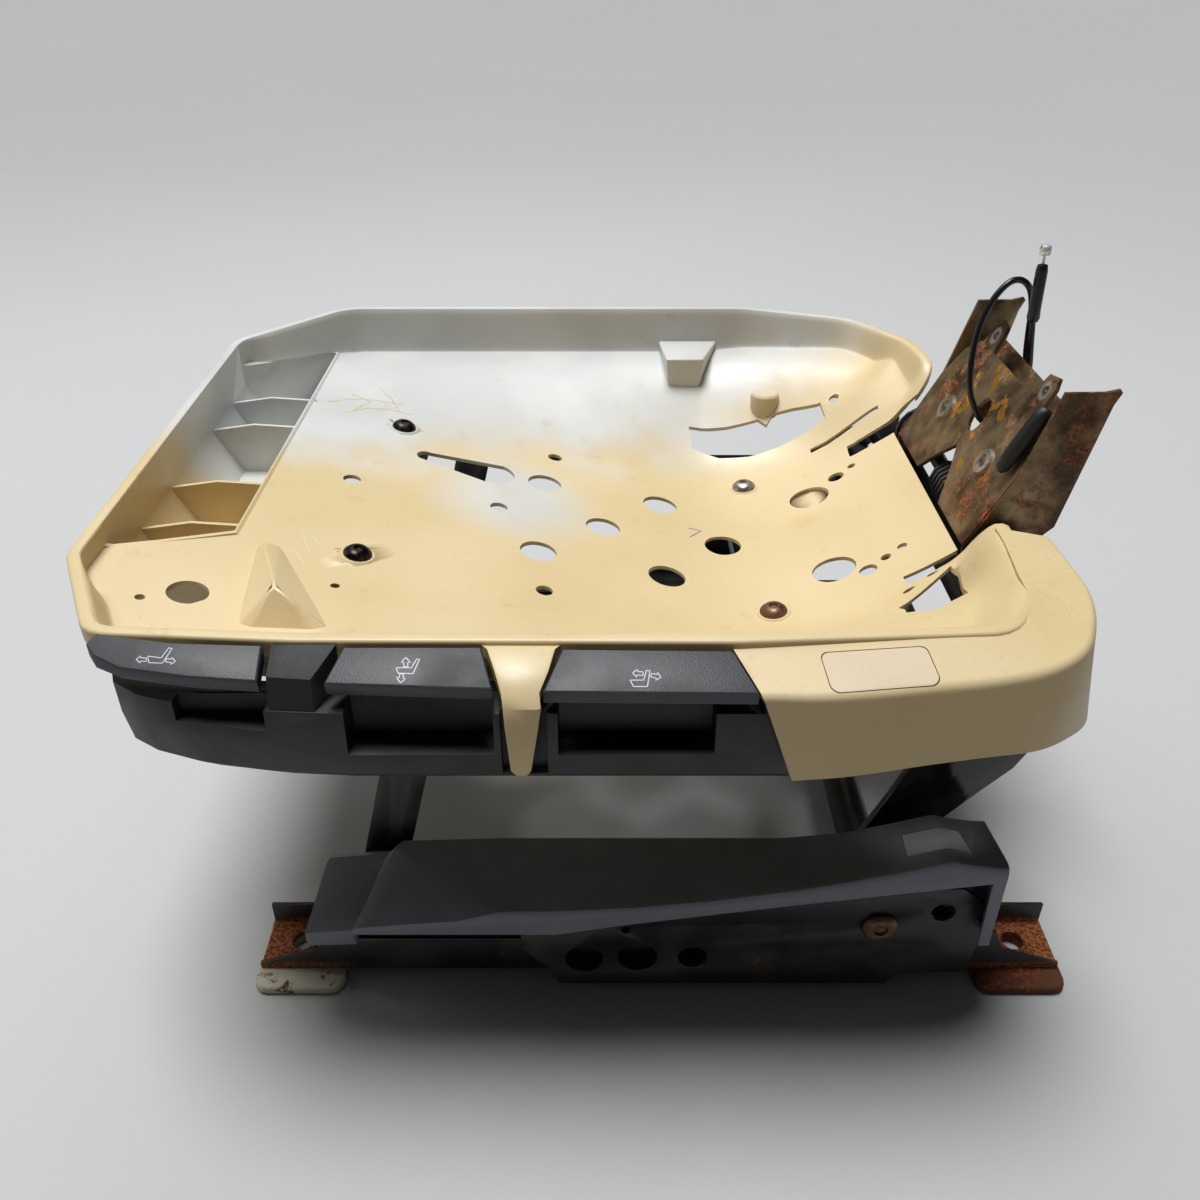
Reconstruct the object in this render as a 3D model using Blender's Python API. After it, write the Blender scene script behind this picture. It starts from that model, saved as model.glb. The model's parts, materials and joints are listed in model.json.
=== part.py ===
"""Vehicle seat base with slide rails: painted pan, side paddles, height linkage, rails and backrest stub.

Sizes below are millimetres, and MM turns them into Blender's metres. X points to the rear of the
vehicle, -Y to the outer (door) side, +Z up, and z = 0 is the floor under the four foot plates.
"""
import bpy
import bmesh
import math
from mathutils import Matrix, Vector

MM = 0.001
GAP = 0.3                      # gap between touching neighbours
FRAME_X = 36.0                 # moves the drawing's zero to the middle of the whole seat base
FRAME_Y = 20.0

# Rails
RAIL_Y = 203.0                 # rail centre line from the seat's centre plane
FOOT_T = 6.5
FOOT_LENGTH = 62.0
LOWER_HALF_LENGTH = 278.0
FOOT_X = LOWER_HALF_LENGTH - 28.5
FOOT_OUT = 38.0                # foot plate reach outward and inward of the rail centre line
FOOT_IN = 36.0
FOOT_CORNER = 9.0
MOUNT_HOLE_X = LOWER_HALF_LENGTH - 25.0
MOUNT_HOLE_R = 7.8
COLLAR_R = 11.0                # raised ring round each mounting hole
COLLAR_HEIGHT = 1.0
LOWER_HALF_WIDTH = 21.0
LOWER_HEIGHT = 37.2
LOWER_T = 2.5
LIP_INNER = 10.0
LIP_T = 2.2
LIP_DROP = 14.0
RAIL_END_CUT = 41.0            # length of the low end on the lower rail
RAIL_END_HEIGHT = 6.0          # outer wall height at the tip
RAIL_END_TOP = 19.5            # inner wall height along the low end
UPPER_HALF_LENGTH = 222.0
UPPER_T = 2.5
UPPER_WEB = 9.2
UPPER_TOP_HALF = 20.0
UPPER_TOP_Z = 48.0
UPPER_FOOT_Z = 15.5
UPPER_HOOK = 16.3
UPPER_HOOK_TOP = 27.0
GLIDE_LENGTH = 30.0
GLIDE_X = 190.0
RACK_HALF_LENGTH = 150.0
RACK_HALF_WIDTH = 6.5
RACK_T = 3.0
RACK_PITCH = 15.0
RACK_WINDOW = 8.0
LATCH_PIVOT_X = -60.0
LATCH_PIVOT_Z = 30.0
LATCH_LENGTH = 76.0
LATCH_HALF_WIDTH = 5.5
LATCH_PIN_R = 3.5
LATCH_LIFT_CLEARANCE = 0.5     # tooth tips over the rack

# Side brackets
BRACKET_T = 3.0
BRACKET_OUT = 31.5             # inner face of the outer plate, outward of the rail centre line
BRACKET_BOTTOM = 8.0
BRACKET_FRONT_X = -69.0
BRACKET_REAR_X = 210.0
BRACKET_RIGHT_REAR_X = 165.0
INNER_WALL_Y = 190.0           # inner face of the bracket's inner wall
INNER_WALL_T = 2.5
RIVET_R = 4.0
RIVET_XS = (-150.0, -20.0, 90.0, 195.0)

# Height linkage
LINK_INNER_Y = 183.0
LINK_T = 6.0
PIVOT_Z = 66.5
REAR_PIVOT_X = 143.0
FRONT_PIVOT_X = -192.0
LINK_DX = 35.0
LINK_DZ = 139.5
LINK_EYE_R = 15.0
LINK_TOP_R = 19.0
LINK_BULGE = 91.0              # how far the rear link's plate swells behind its lower pivot
PIVOT_BOLT_R = 5.0
PIVOT_HEAD_R = 12.0
PIVOT_HEAD_T = 5.0
TUBE_R = 13.0
TUBE_BORE_R = 10.0
SHAFT_R = 6.0
RUNNING = 0.5                  # radial clearance in the moving eyes
QUADRANT_R = 34.0
QUADRANT_TEETH = 8
QUADRANT_Y = 174.0
QUADRANT_T = 5.0
PAWL_X = 120.0
PAWL_Z = 236.0
PAWL_ANGLE = 120.0             # where the pawl meets the quadrant, in degrees from the rear

# Seat pan
PAN_T = 3.0
PAN_FRONT_X = -351.0
PAN_TAB_X = 197.6
PAN_TAB_HALF = 94.5
PAN_HALF_FAR = 256.0
PAN_HALF_NEAR = 262.0
DRAWN_NEAR = 262.0             # near half width for which the side pieces below were drawn
RIM_Z = 318.0
RIM_TILT = 0.0137              # the rim is a little higher on the far side
RIM_WIDTH = 6.0
SKIRT_DEPTH = 11.0
FLOOR_Z = 225.9
FLOOR_SLOPE = 0.2185
FLOOR_CURVE_START = 15.6
FLOOR_CURVE = 0.002617
BOLSTER_Z = 284.0
BOLSTER_START = 115.0
BOLSTER_END = 242.0
TROUGH_Z = 249.0
FIN_T = 3.0
FIN_YS = (121.0, 67.0, -31.0, -91.0)
VALANCE_Y = 294.0
FLANGE_SLOPE = 0.41
FLANGE_EDGE_Z = 301.5
VALANCE_BOTTOM_Z = 244.0
PAN_BOLT_R = 9.75
PAN_BOLT_SHANK_R = 3.5
PAN_BOLT_FRONT = (-202.0, 102.0)
PAN_BOLT_REAR = (79.0, 94.0)
PAD_R = 12.0
PAD_HEIGHT = 1.0                # raised seat under each pan bolt
MEMBER_HOLE_R = 6.5
SLOT_INNER = PAN_TAB_HALF - 0.5
SLOT_OUTER = PAN_TAB_HALF + 13.5
SLOT_FRONT_X = 164.5

# Seat frame under the pan
FRAME_SIDE_Y = 190.0
FRAME_SIDE_T = 3.0
MEMBER_END_Y = FRAME_SIDE_Y - GAP

# Paddles and carrier
PADDLE_T = 2.8
PADDLE_LIP = 8.5
BARREL_Y = DRAWN_NEAR - PAN_HALF_NEAR - 269.0
BARREL_Z = 306.1
BARREL_R = 2.7
CARRIER_FACE_Y = DRAWN_NEAR - PAN_HALF_NEAR - 292.0
CARRIER_TOP_Z = 288.0
CARRIER_BOTTOM_Z = 244.0
RECESS_DEPTH = 19.0

# Rail cover
COVER_T = 2.4
COVER_OUT_Y = 250.0
COVER_IN_Y = 198.6
COVER_INNER_TOP = 109.0        # height of the cover's inner edge along its flat part

# Backrest stub
RECLINE_X = 222.0
RECLINE_Z = 268.0
BACK_PLATE_X = 199.3           # plate face at the recline axis height
BACK_LEAN = 0.51               # rearward lean of the plate for each unit of height
BACK_T = 3.0
WING_Y = PAN_TAB_HALF - 4.5
WING_T = 2.5
WING_R = 21.0
DISC_R = 18.5
RECLINER_PLATE_Y = PAN_TAB_HALF + 5.0
RECLINER_PLATE_T = 3.0
AXLE_R = 6.0
COIL_R = 14.0
COIL_WIRE_R = 2.2
COIL_TURNS = 6
COIL_PITCH = 5.6
LUG_Y = 52.6
LUG_HOLE_Z = 365.5
NUT_Y = 47.5
NUT_Z = 311.6
BUFFER_Y = 81.0
BUFFER_R = 6.2
BUFFER_LOW = 318
BUFFER_TOP = 362
BACKING_LOW = 318
BACKING_TOP = 363
BACKING_DEPTH = 20
CABLE_R = 2.3
SLEEVE_R = 4.2


def clear_scene():
    for obj in list(bpy.data.objects):
        bpy.data.objects.remove(obj, do_unlink=True)


def material(name, colour, roughness, metallic=0.0):
    mat = bpy.data.materials.new(name)
    mat.use_nodes = True
    shader = mat.node_tree.nodes["Principled BSDF"]
    shader.inputs["Base Color"].default_value = (*colour, 1.0)
    shader.inputs["Roughness"].default_value = roughness
    shader.inputs["Metallic"].default_value = metallic
    mat.diffuse_color = (*colour, 1.0)
    return mat


def body(name, parent, x, y, z):
    """An empty on a joint's axis, which carries the pieces that move with it."""
    empty = bpy.data.objects.new(name, None)
    bpy.context.scene.collection.objects.link(empty)
    anchor = Vector((x, y, z)) * MM
    empty["anchor"] = tuple(anchor)
    if parent is not None:
        empty.parent = parent
        anchor = anchor - Vector(parent["anchor"])
    empty.location = anchor
    return empty


def make(name, bm, mat, carrier, smooth=35.0):
    """Turns a drawing in millimetres into an object that its body carries."""
    bmesh.ops.remove_doubles(bm, verts=bm.verts, dist=0.001)
    bmesh.ops.recalc_face_normals(bm, faces=bm.faces)
    bmesh.ops.scale(bm, vec=(MM, MM, MM), verts=bm.verts)
    mesh = bpy.data.meshes.new(name)
    bm.to_mesh(mesh)
    bm.free()
    obj = bpy.data.objects.new(name, mesh)
    bpy.context.scene.collection.objects.link(obj)
    if mat is not None:
        mesh.materials.append(mat)
    obj.parent = carrier
    obj.location = -Vector(carrier["anchor"])
    mesh.shade_smooth()
    mesh.set_sharp_from_angle(angle=math.radians(smooth))
    return obj


def combine(obj, bm, operation):
    """Adds, removes or keeps the common part of a drawing, with the drawing kept as a hidden helper."""
    count = len(obj.modifiers)
    helper = make(f"{obj.name}_{operation.lower()}_{count}", bm, None, obj.parent)
    helper.hide_render = True
    helper.display_type = "WIRE"
    step = obj.modifiers.new(operation, "BOOLEAN")
    step.operation = operation
    step.solver = "EXACT"
    step.object = helper


def cut(obj, bm):
    combine(obj, bm, "DIFFERENCE")


def join(obj, bm):
    combine(obj, bm, "UNION")


def loft(rings, closed=False):
    """Skins rings of equal point counts; open lofts get a cap at each end."""
    bm = bmesh.new()
    skins = [[bm.verts.new(point) for point in ring] for ring in rings]
    count = len(rings[0])
    pairs = list(zip(skins, skins[1:]))
    if closed:
        pairs.append((skins[-1], skins[0]))
    for low, high in pairs:
        for i in range(count):
            j = (i + 1) % count
            bm.faces.new((low[i], low[j], high[j], high[i]))
    if not closed:
        bm.faces.new(list(reversed(skins[0])))
        bm.faces.new(skins[-1])
    return bm


def prism(axis, outline, low, high):
    """A flat outline pushed along X, Y or Z; the outline gives the other two coordinates in order."""
    def place(point, depth):
        a, b = point
        return {"X": (depth, a, b), "Y": (a, depth, b), "Z": (a, b, depth)}[axis]
    return loft([[place(p, low) for p in outline], [place(p, high) for p in outline]])


def box(x0, x1, y0, y1, z0, z1):
    return prism("Z", [(x0, y0), (x1, y0), (x1, y1), (x0, y1)], z0, z1)


def circle(cx, cy, radius, count=18, start=0.0):
    return [(cx + radius * math.cos(start + math.tau * i / count),
             cy + radius * math.sin(start + math.tau * i / count)) for i in range(count)]


def arc(cx, cy, radius, first, last, count=8):
    """Points on an arc, with its angles in degrees."""
    return [(cx + radius * math.cos(math.radians(first + (last - first) * i / count)),
             cy + radius * math.sin(math.radians(first + (last - first) * i / count)))
            for i in range(count + 1)]


def rounded(corners, steps=4):
    """An outline whose corners (x, y, radius) are rounded by arcs."""
    points = []
    total = len(corners)
    for i, (x, y, radius) in enumerate(corners):
        before = Vector(corners[i - 1][:2])
        here = Vector((x, y))
        after = Vector(corners[(i + 1) % total][:2])
        back = (before - here).normalized()
        ahead = (after - here).normalized()
        if radius <= 0:
            points.append((x, y))
            continue
        half = back.angle(ahead) / 2
        reach = radius / math.tan(half)
        centre = here + (back + ahead).normalized() * (radius / math.sin(half))
        first = here + back * reach - centre
        turn = first.angle_signed(here + ahead * reach - centre)
        for k in range(steps + 1):
            spoke = Vector(first)
            spoke.rotate(Matrix.Rotation(-turn * k / steps, 2))
            points.append(tuple(centre + spoke))
    return points


def merge(*drawings):
    """Puts separate drawings into one, without joining their solids."""
    out = bmesh.new()
    for bm in drawings:
        mesh = bpy.data.meshes.new("scratch")
        bm.to_mesh(mesh)
        bm.free()
        out.from_mesh(mesh)
        bpy.data.meshes.remove(mesh)
    return out


def hull(points):
    bm = bmesh.new()
    verts = [bm.verts.new(p) for p in points]
    result = bmesh.ops.convex_hull(bm, input=verts)
    loose = [g for g in result["geom_interior"] + result["geom_unused"] if isinstance(g, bmesh.types.BMVert)]
    bmesh.ops.delete(bm, geom=loose, context="VERTS")
    return bm


def turned(profile, centre, axis, count=16):
    """A turned piece: profile points are (radius, distance along the axis)."""
    direction = Vector(axis).normalized()
    side = direction.orthogonal().normalized()
    third = direction.cross(side)
    origin = Vector(centre)
    rings = []
    for radius, along in profile:
        rings.append([origin + direction * along + (side * math.cos(a) + third * math.sin(a)) * radius
                      for a in (math.tau * i / count for i in range(count))])
    return loft(rings)


def ring_tube(radius, bore, centre, axis, length, count=20):
    """A tube that is open at both ends."""
    direction = Vector(axis).normalized()
    side = direction.orthogonal().normalized()
    third = direction.cross(side)
    origin = Vector(centre)
    rings = []
    for r, along in ((radius, 0), (radius, length), (bore, length), (bore, 0)):
        rings.append([origin + direction * along + (side * math.cos(a) + third * math.sin(a)) * r
                      for a in (math.tau * i / count for i in range(count))])
    return loft(rings, closed=True)


def sided(side, outline, axis, low, high):
    """A prism whose Y values are given outward from the seat's centre plane, on the side asked for."""
    if axis == "X":
        return prism("X", [(side * y, z) for y, z in outline], low, high)
    return prism("Y", outline, side * low, side * high)


def near(y):
    """A drawn Y of the paddle side, moved with the pan's near rim."""
    return y + DRAWN_NEAR - PAN_HALF_NEAR


def smoothstep(t):
    t = min(max(t, 0.0), 1.0)
    return t * t * (3 - 2 * t)


def side_name(side):
    return "left" if side < 0 else "right"


# Rails and feet

def foot_plate(name, x, side, mat, carrier):
    half = FOOT_LENGTH / 2
    outer = RAIL_Y + FOOT_OUT
    inner = RAIL_Y - FOOT_IN
    corners = [(x - half, inner, FOOT_CORNER), (x + half, inner, FOOT_CORNER),
               (x + half, outer, FOOT_CORNER), (x - half, outer, FOOT_CORNER)]
    plan = [(px, side * py) for px, py in rounded(corners, 3)]
    foot = make(name, prism("Z", plan, 0.0, FOOT_T), mat, carrier)
    edge = foot.modifiers.new("edge", "BEVEL")
    edge.width = 1.2 * MM
    edge.segments = 1
    edge.limit_method = "ANGLE"
    edge.angle_limit = math.radians(60)
    hole_x = math.copysign(MOUNT_HOLE_X, x)
    cut(foot, prism("Z", circle(hole_x, side * RAIL_Y, MOUNT_HOLE_R), -5, FOOT_T + 5))
    return foot


def lower_rail(side, mat, carrier):
    base = FOOT_T + GAP
    top = base + LOWER_HEIGHT
    w = LOWER_HALF_WIDTH
    t = LOWER_T
    right_half = [(w, base), (w, top), (LIP_INNER, top), (LIP_INNER, top - LIP_DROP),
                  (LIP_INNER + LIP_T, top - LIP_DROP), (LIP_INNER + LIP_T, top - LIP_T),
                  (w - t, top - LIP_T), (w - t, base + t)]
    left_half = [(-y, z) for y, z in reversed(right_half)]
    section = [(RAIL_Y + y, z) for y, z in right_half + left_half]
    rail = make(f"lower_rail_{side_name(side)}",
                sided(side, section, "X", -LOWER_HALF_LENGTH, LOWER_HALF_LENGTH), mat, carrier)
    floor_top = base + t
    collars = [turned([(COLLAR_R, base + 1), (COLLAR_R, floor_top + COLLAR_HEIGHT - 0.4),
                       (COLLAR_R - 1, floor_top + COLLAR_HEIGHT)], (end * MOUNT_HOLE_X, side * RAIL_Y, 0),
                      (0, 0, 1), 20)
               for end in (-1, 1)]
    join(rail, merge(*collars))
    tops = []
    tips = []
    for end in (-1, 1):
        x_end = end * LOWER_HALF_LENGTH
        start = x_end - end * RAIL_END_CUT
        ramp = [(x_end + end * 10, base + RAIL_END_TOP), (start, base + RAIL_END_TOP),
                (start - end * 14, top + 10),
                (x_end + end * 10, top + 10)]
        tops.append(sided(side, ramp, "Y", RAIL_Y - w - 5, RAIL_Y + w + 5))
        tops.append(prism("Z", circle(end * MOUNT_HOLE_X, side * RAIL_Y, MOUNT_HOLE_R), base - 3, base + 9))
        wedge = [(x_end + end * 10, base + RAIL_END_HEIGHT - 2), (x_end - end * 3, base + RAIL_END_HEIGHT),
                 (start, base + RAIL_END_TOP - 1), (start, base + RAIL_END_TOP + 3),
                 (x_end + end * 10, base + RAIL_END_TOP + 3)]
        tips.append(sided(side, wedge, "Y", RAIL_Y + w - t - 1, RAIL_Y + w + 5))
    cut(rail, merge(*tops))
    cut(rail, merge(*tips))
    return rail


def lock_rack(side, mat, carrier):
    base = FOOT_T + GAP + LOWER_T + GAP
    rack = make(f"lock_rack_{side_name(side)}",
                box(-RACK_HALF_LENGTH, RACK_HALF_LENGTH, side * RAIL_Y - RACK_HALF_WIDTH,
                    side * RAIL_Y + RACK_HALF_WIDTH, base, base + RACK_T), mat, carrier)
    count = int(2 * RACK_HALF_LENGTH / RACK_PITCH) - 1
    half = RACK_WINDOW / 2
    windows = []
    for i in range(count):
        x = (i - (count - 1) / 2) * RACK_PITCH
        windows.append(box(x - half, x + half, side * RAIL_Y - half, side * RAIL_Y + half, base - 2,
                           base + RACK_T + 2))
    cut(rack, merge(*windows))
    return rack


def upper_rail(side, mat, carrier):
    t = UPPER_T
    half = [(UPPER_TOP_HALF, UPPER_TOP_Z), (UPPER_TOP_HALF, UPPER_TOP_Z - t - 0.5),
            (UPPER_WEB, UPPER_TOP_Z - t - 0.5), (UPPER_WEB, UPPER_FOOT_Z + t),
            (UPPER_HOOK - t, UPPER_FOOT_Z + t), (UPPER_HOOK - t, UPPER_HOOK_TOP),
            (UPPER_HOOK, UPPER_HOOK_TOP), (UPPER_HOOK, UPPER_FOOT_Z), (UPPER_WEB - t, UPPER_FOOT_Z),
            (UPPER_WEB - t, UPPER_TOP_Z - t - 0.5)]
    mirrored = [(-y, z) for y, z in reversed(half)]
    section = [(RAIL_Y + y, z) for y, z in half + mirrored]
    rail = make(f"upper_rail_{side_name(side)}",
                sided(side, section, "X", -UPPER_HALF_LENGTH, UPPER_HALF_LENGTH), mat, carrier)
    holes = [prism("Y", circle(LATCH_PIVOT_X, LATCH_PIVOT_Z, LATCH_PIN_R + GAP, 16),
                   side * RAIL_Y - UPPER_WEB - 2, side * RAIL_Y + UPPER_WEB + 2)]
    for x in RIVET_XS:
        holes.append(prism("Z", circle(x, side * RAIL_Y, RIVET_R + GAP, 16), UPPER_TOP_Z - 8,
                           UPPER_TOP_Z + 3))
    cut(rail, merge(*holes))
    return rail


def glide_cage(side, mat, carrier):
    """Plastic shoes round the upper rail's hooks, with a strip that keeps them apart."""
    rack_floor = FOOT_T + GAP + LOWER_T + GAP
    floor = rack_floor + COLLAR_HEIGHT
    wall = LOWER_HALF_WIDTH - LOWER_T - GAP
    hook = UPPER_HOOK + GAP
    top = UPPER_HOOK_TOP - 1
    over = RACK_HALF_WIDTH + 1.5
    bridge = rack_floor + RACK_T + GAP
    shape = [(wall, floor), (wall, top), (hook, top), (hook, UPPER_FOOT_Z - GAP), (-hook, UPPER_FOOT_Z - GAP),
             (-hook, top), (-wall, top), (-wall, floor), (-over, floor), (-over, bridge), (over, bridge),
             (over, floor)]
    y = side * RAIL_Y
    low, high = side * (RAIL_Y + over + 2), side * (RAIL_Y + wall)
    cage = make(f"glide_cage_{side_name(side)}",
                box(-GLIDE_X, GLIDE_X, min(low, high), max(low, high), floor, UPPER_FOOT_Z - GAP), mat,
                carrier)
    for x in (-GLIDE_X, GLIDE_X):
        section = [(y + out, z) for out, z in shape]
        join(cage, prism("X", section, x - GLIDE_LENGTH / 2, x + GLIDE_LENGTH / 2))
    return cage


def latch_pawl(side, mat, carrier):
    """A lever inside the upper rail, with three teeth over the rack's windows."""
    rack_top = FOOT_T + GAP + LOWER_T + GAP + RACK_T
    tip = rack_top + LATCH_LIFT_CLEARANCE
    low = LATCH_PIVOT_Z - 7
    high = LATCH_PIVOT_Z + 5
    start = LATCH_PIVOT_X - 60
    end = LATCH_PIVOT_X + LATCH_LENGTH
    outline = [(start, high - 4), (start, low + 4), (LATCH_PIVOT_X - 15, low)]
    tooth = RACK_WINDOW - 2
    for i in (-1, 0, 1):
        x = LATCH_PIVOT_X + 60 + i * RACK_PITCH
        outline += [(x - tooth / 2, low), (x - tooth / 2 + 1, tip), (x + tooth / 2 - 1, tip),
                    (x + tooth / 2, low)]
    outline += [(end, low), (end, high)]
    y = side * RAIL_Y
    pawl = make(f"slide_latch_{side_name(side)}",
                prism("Y", outline, y - LATCH_HALF_WIDTH, y + LATCH_HALF_WIDTH), mat, carrier)
    join(pawl, prism("Y", circle(LATCH_PIVOT_X, LATCH_PIVOT_Z, LATCH_PIN_R, 16), y - UPPER_WEB,
                     y + UPPER_WEB))
    return pawl


def side_bracket(side, mat, carrier):
    """Outer plate, floor flange and inner wall in one sheet, with the rivets that hold it on the rail."""
    name = f"side_bracket_{side_name(side)}"
    flange_z = UPPER_TOP_Z + GAP
    flange_top = flange_z + BRACKET_T
    outer_face = RAIL_Y + BRACKET_OUT
    rear = BRACKET_REAR_X if side < 0 else BRACKET_RIGHT_REAR_X
    plate = [(BRACKET_FRONT_X, BRACKET_BOTTOM), (rear - 56, BRACKET_BOTTOM), (rear - 47, BRACKET_BOTTOM + 12),
             (rear - 4, BRACKET_BOTTOM + 12), (rear + 2, 52), (rear - 2, 88), (rear - 17, 101),
             (rear - 60, 101),
             (60, 84), (-40, 66), (-94, 62), (-94, 44), (-78, 26)]
    bracket = make(name, sided(side, plate, "Y", outer_face, outer_face + BRACKET_T), mat, carrier)
    join(bracket, box(-215, rear - 8, side * INNER_WALL_Y, side * (outer_face + 1), flange_z, flange_top))
    pivots = (FRONT_PIVOT_X, REAR_PIVOT_X)
    wall = [(-215, flange_z), (-215, 72)]
    wall += arc(FRONT_PIVOT_X, PIVOT_Z + 3, 19, 165, 20, 5)
    wall += [(-150, flange_top + 4), (100, flange_top + 4)]
    wall += arc(REAR_PIVOT_X, PIVOT_Z + 3, 19, 160, 15, 5)
    rear_wall = min(190, rear - 10)
    wall += [(rear_wall, flange_top + 4), (rear_wall, flange_z)]
    join(bracket, sided(side, wall, "Y", INNER_WALL_Y, INNER_WALL_Y + INNER_WALL_T))
    holes = []
    for x in pivots:
        holes.append(sided(side, circle(x, PIVOT_Z, PIVOT_BOLT_R + GAP, 20), "Y", INNER_WALL_Y - 3,
                           INNER_WALL_Y + INNER_WALL_T + 3))
    for x, z, radius in ((REAR_PIVOT_X, PIVOT_Z, PIVOT_BOLT_R + GAP), (-52, 33, 13), (-16, 35, 13.5),
                         (21, 35, 10),
                         (-24, 62, 3.5), (rear - 27, 79, 8)):
        holes.append(sided(side, circle(x, z, radius, 16), "Y", outer_face - 3, outer_face + BRACKET_T + 3))
    cut(bracket, merge(*holes))
    under = UPPER_TOP_Z - UPPER_T - 0.5 - GAP
    rivets = []
    for x in RIVET_XS:
        if x < rear - 12:
            profile = [(5.5, under - 2), (5.5, under), (RIVET_R, under), (RIVET_R, flange_z + 1),
                       (7, flange_z + 1),
                       (7, flange_top + 0.4), (6, flange_top + 2.2), (3, flange_top + 3)]
            rivets.append(turned(profile, (x, side * RAIL_Y, 0), (0, 0, 1), 8))
    join(bracket, merge(*rivets))
    return bracket


def pivot_bolt(name, side, x, head_y, mat, carrier):
    """A shoulder bolt along Y with a domed head outside and its end in the torque tube."""
    end = LINK_INNER_Y - 8
    profile = [(PIVOT_BOLT_R, end), (PIVOT_BOLT_R, head_y + GAP), (PIVOT_HEAD_R, head_y + GAP),
               (PIVOT_HEAD_R, head_y + 2.5), (PIVOT_HEAD_R - 3, head_y + PIVOT_HEAD_T),
               (4.5, head_y + PIVOT_HEAD_T),
               (4.0, head_y + PIVOT_HEAD_T - 2.5)]
    return make(name, turned(profile, (x, 0, PIVOT_Z), (0, side, 0)), mat, carrier)


# Rail cover

def cover_line(x):
    """Ridge height, ridge reach, knee height, lower edge and inner top of the cover at one place along it."""
    ridge = 93.2 + 42.4 * max(0.0, (x + 100) / 268) ** 2
    if x > 176:
        ridge = 136.5 - 4 * smoothstep((x - 176) / 33)
    reach = COVER_OUT_Y - 3
    knee = ridge - 5
    low = 72.5 + 0.3 * max(0.0, x + 70) ** 0.9
    inner_top = max(COVER_INNER_TOP, ridge - 8)
    if x < -105:
        t = min(1.0, (-105 - x) / 68)
        reach = COVER_OUT_Y - 3 - 40 * t
        ridge = 93.2 + 14.5 * t
        knee = 88.2 - 10 * t
        inner_top = COVER_INNER_TOP - 2.5 * t
    if x < -173:
        t = min(1.0, (-173 - x) / 7)
        reach = COVER_OUT_Y - 43
        ridge = 107.7 - 8.7 * t
        knee = 78.2 - 12 * t
        low = 72.5 - 20 * t
        inner_top = ridge - 1.5
    if x < -180:
        t = (-180 - x) / 41
        ridge = 99 - 4 * t
        knee = 66.2 - 3 * t
        low = 52.5 - 1.5 * t
        inner_top = ridge - 1.5
    return ridge, reach, knee, low, inner_top


def cover_section(x, inset):
    """One closed slice of the shell's outer face (inset 0) or inner face; the slices lean at the front."""
    ridge, reach, knee, low, inner_top = cover_line(x)
    recess = 9 * smoothstep((-173 - x) / 7)
    out = COVER_OUT_Y - recess - inset
    crest = ridge - inset
    step_in = COVER_IN_Y + inset
    shoulder = reach - 2.5
    lean = 0.56 * smoothstep((-105 - x) / 60) - 0.2 * smoothstep((-180 - x) / 41)
    section = [(out, low), (out, knee - inset * 0.6), (reach + 1.2 - inset * 0.5, crest - 1.0),
               (shoulder, crest),
               ((shoulder + step_in + 1.5) / 2, (crest + inner_top - inset) / 2),
               (step_in + 1.5, inner_top - inset),
               (step_in, inner_top - inset - 2), (step_in, UPPER_TOP_Z + BRACKET_T + 12)]
    back = 5 * smoothstep((x - 205) / 12)
    return [(x - lean * (y - 200) - (back if z > 100 else 0), -y, z) for y, z in section]


COVER_STATIONS = (-221, -214, -203, -190, -180, -173, -160, -145, -125, -105, -70, -20, 30, 80, 120, 150, 176,
                  190, 204, 205, 212, 217)


def cover_shell():
    """Outer skin and inner skin lofted along X and joined round their edges."""
    outer = [cover_section(x, 0.0) for x in COVER_STATIONS]
    inner = [cover_section(x, COVER_T) for x in COVER_STATIONS]
    inner[0] = cover_section(COVER_STATIONS[0] + COVER_T, COVER_T)
    inner[-1] = cover_section(COVER_STATIONS[-1] - COVER_T, COVER_T)
    strap_from = COVER_STATIONS.index(205)
    for k in range(strap_from, len(outer)):
        for skin in (outer, inner):
            x, y, _ = skin[k][0]
            skin[k][0] = (x, y, 62.0)
    bm = bmesh.new()
    skins = [[[bm.verts.new(p) for p in ring] for ring in skin] for skin in (outer, inner)]
    count = len(outer[0])
    for skin in skins:
        for a, b in zip(skin, skin[1:]):
            for i in range(count - 1):
                bm.faces.new((a[i], a[i + 1], b[i + 1], b[i]))
        bm.faces.new(skin[0])
        bm.faces.new(skin[-1])
    for edge in (0, count - 1):
        for k in range(len(outer) - 1):
            bm.faces.new((skins[0][k][edge], skins[0][k + 1][edge], skins[1][k + 1][edge], skins[1][k][edge]))
    for k in (0, len(outer) - 1):
        bm.faces.new((skins[0][k][0], skins[0][k][-1], skins[1][k][-1], skins[1][k][0]))
    return bm


WINDOW_PLAN = ((152, -236), (192, -236), (190, -214), (154, -214))


def window_prism(grow):
    cx = sum(p[0] for p in WINDOW_PLAN) / 4
    cy = sum(p[1] for p in WINDOW_PLAN) / 4
    plan = [(x + math.copysign(grow, x - cx), y + math.copysign(grow, y - cy)) for x, y in WINDOW_PLAN]
    return prism("Z", plan, 110, 150)


def rail_cover(mat, carrier):
    cover = make("rail_cover_left", cover_shell(), mat, carrier, 30)
    cut(cover, window_prism(GAP))
    cut(cover, box(REAR_PIVOT_X - 8, REAR_PIVOT_X + 8, -COVER_IN_Y - 5, -COVER_IN_Y + 3, 55, PIVOT_Z + 9))
    plate_face = RAIL_Y + BRACKET_OUT + BRACKET_T
    flange_top = UPPER_TOP_Z + GAP + BRACKET_T
    for x in (-120, 10, 130):
        join(cover, box(x - 8, x + 8, -COVER_IN_Y - COVER_T + 0.2, -COVER_IN_Y - 0.2, flange_top + GAP, 72))
    join(cover, prism("Y", circle(207.5, 72, 2.2, 12), -plate_face - GAP, -(COVER_OUT_Y - COVER_T / 2)))
    return cover


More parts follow.
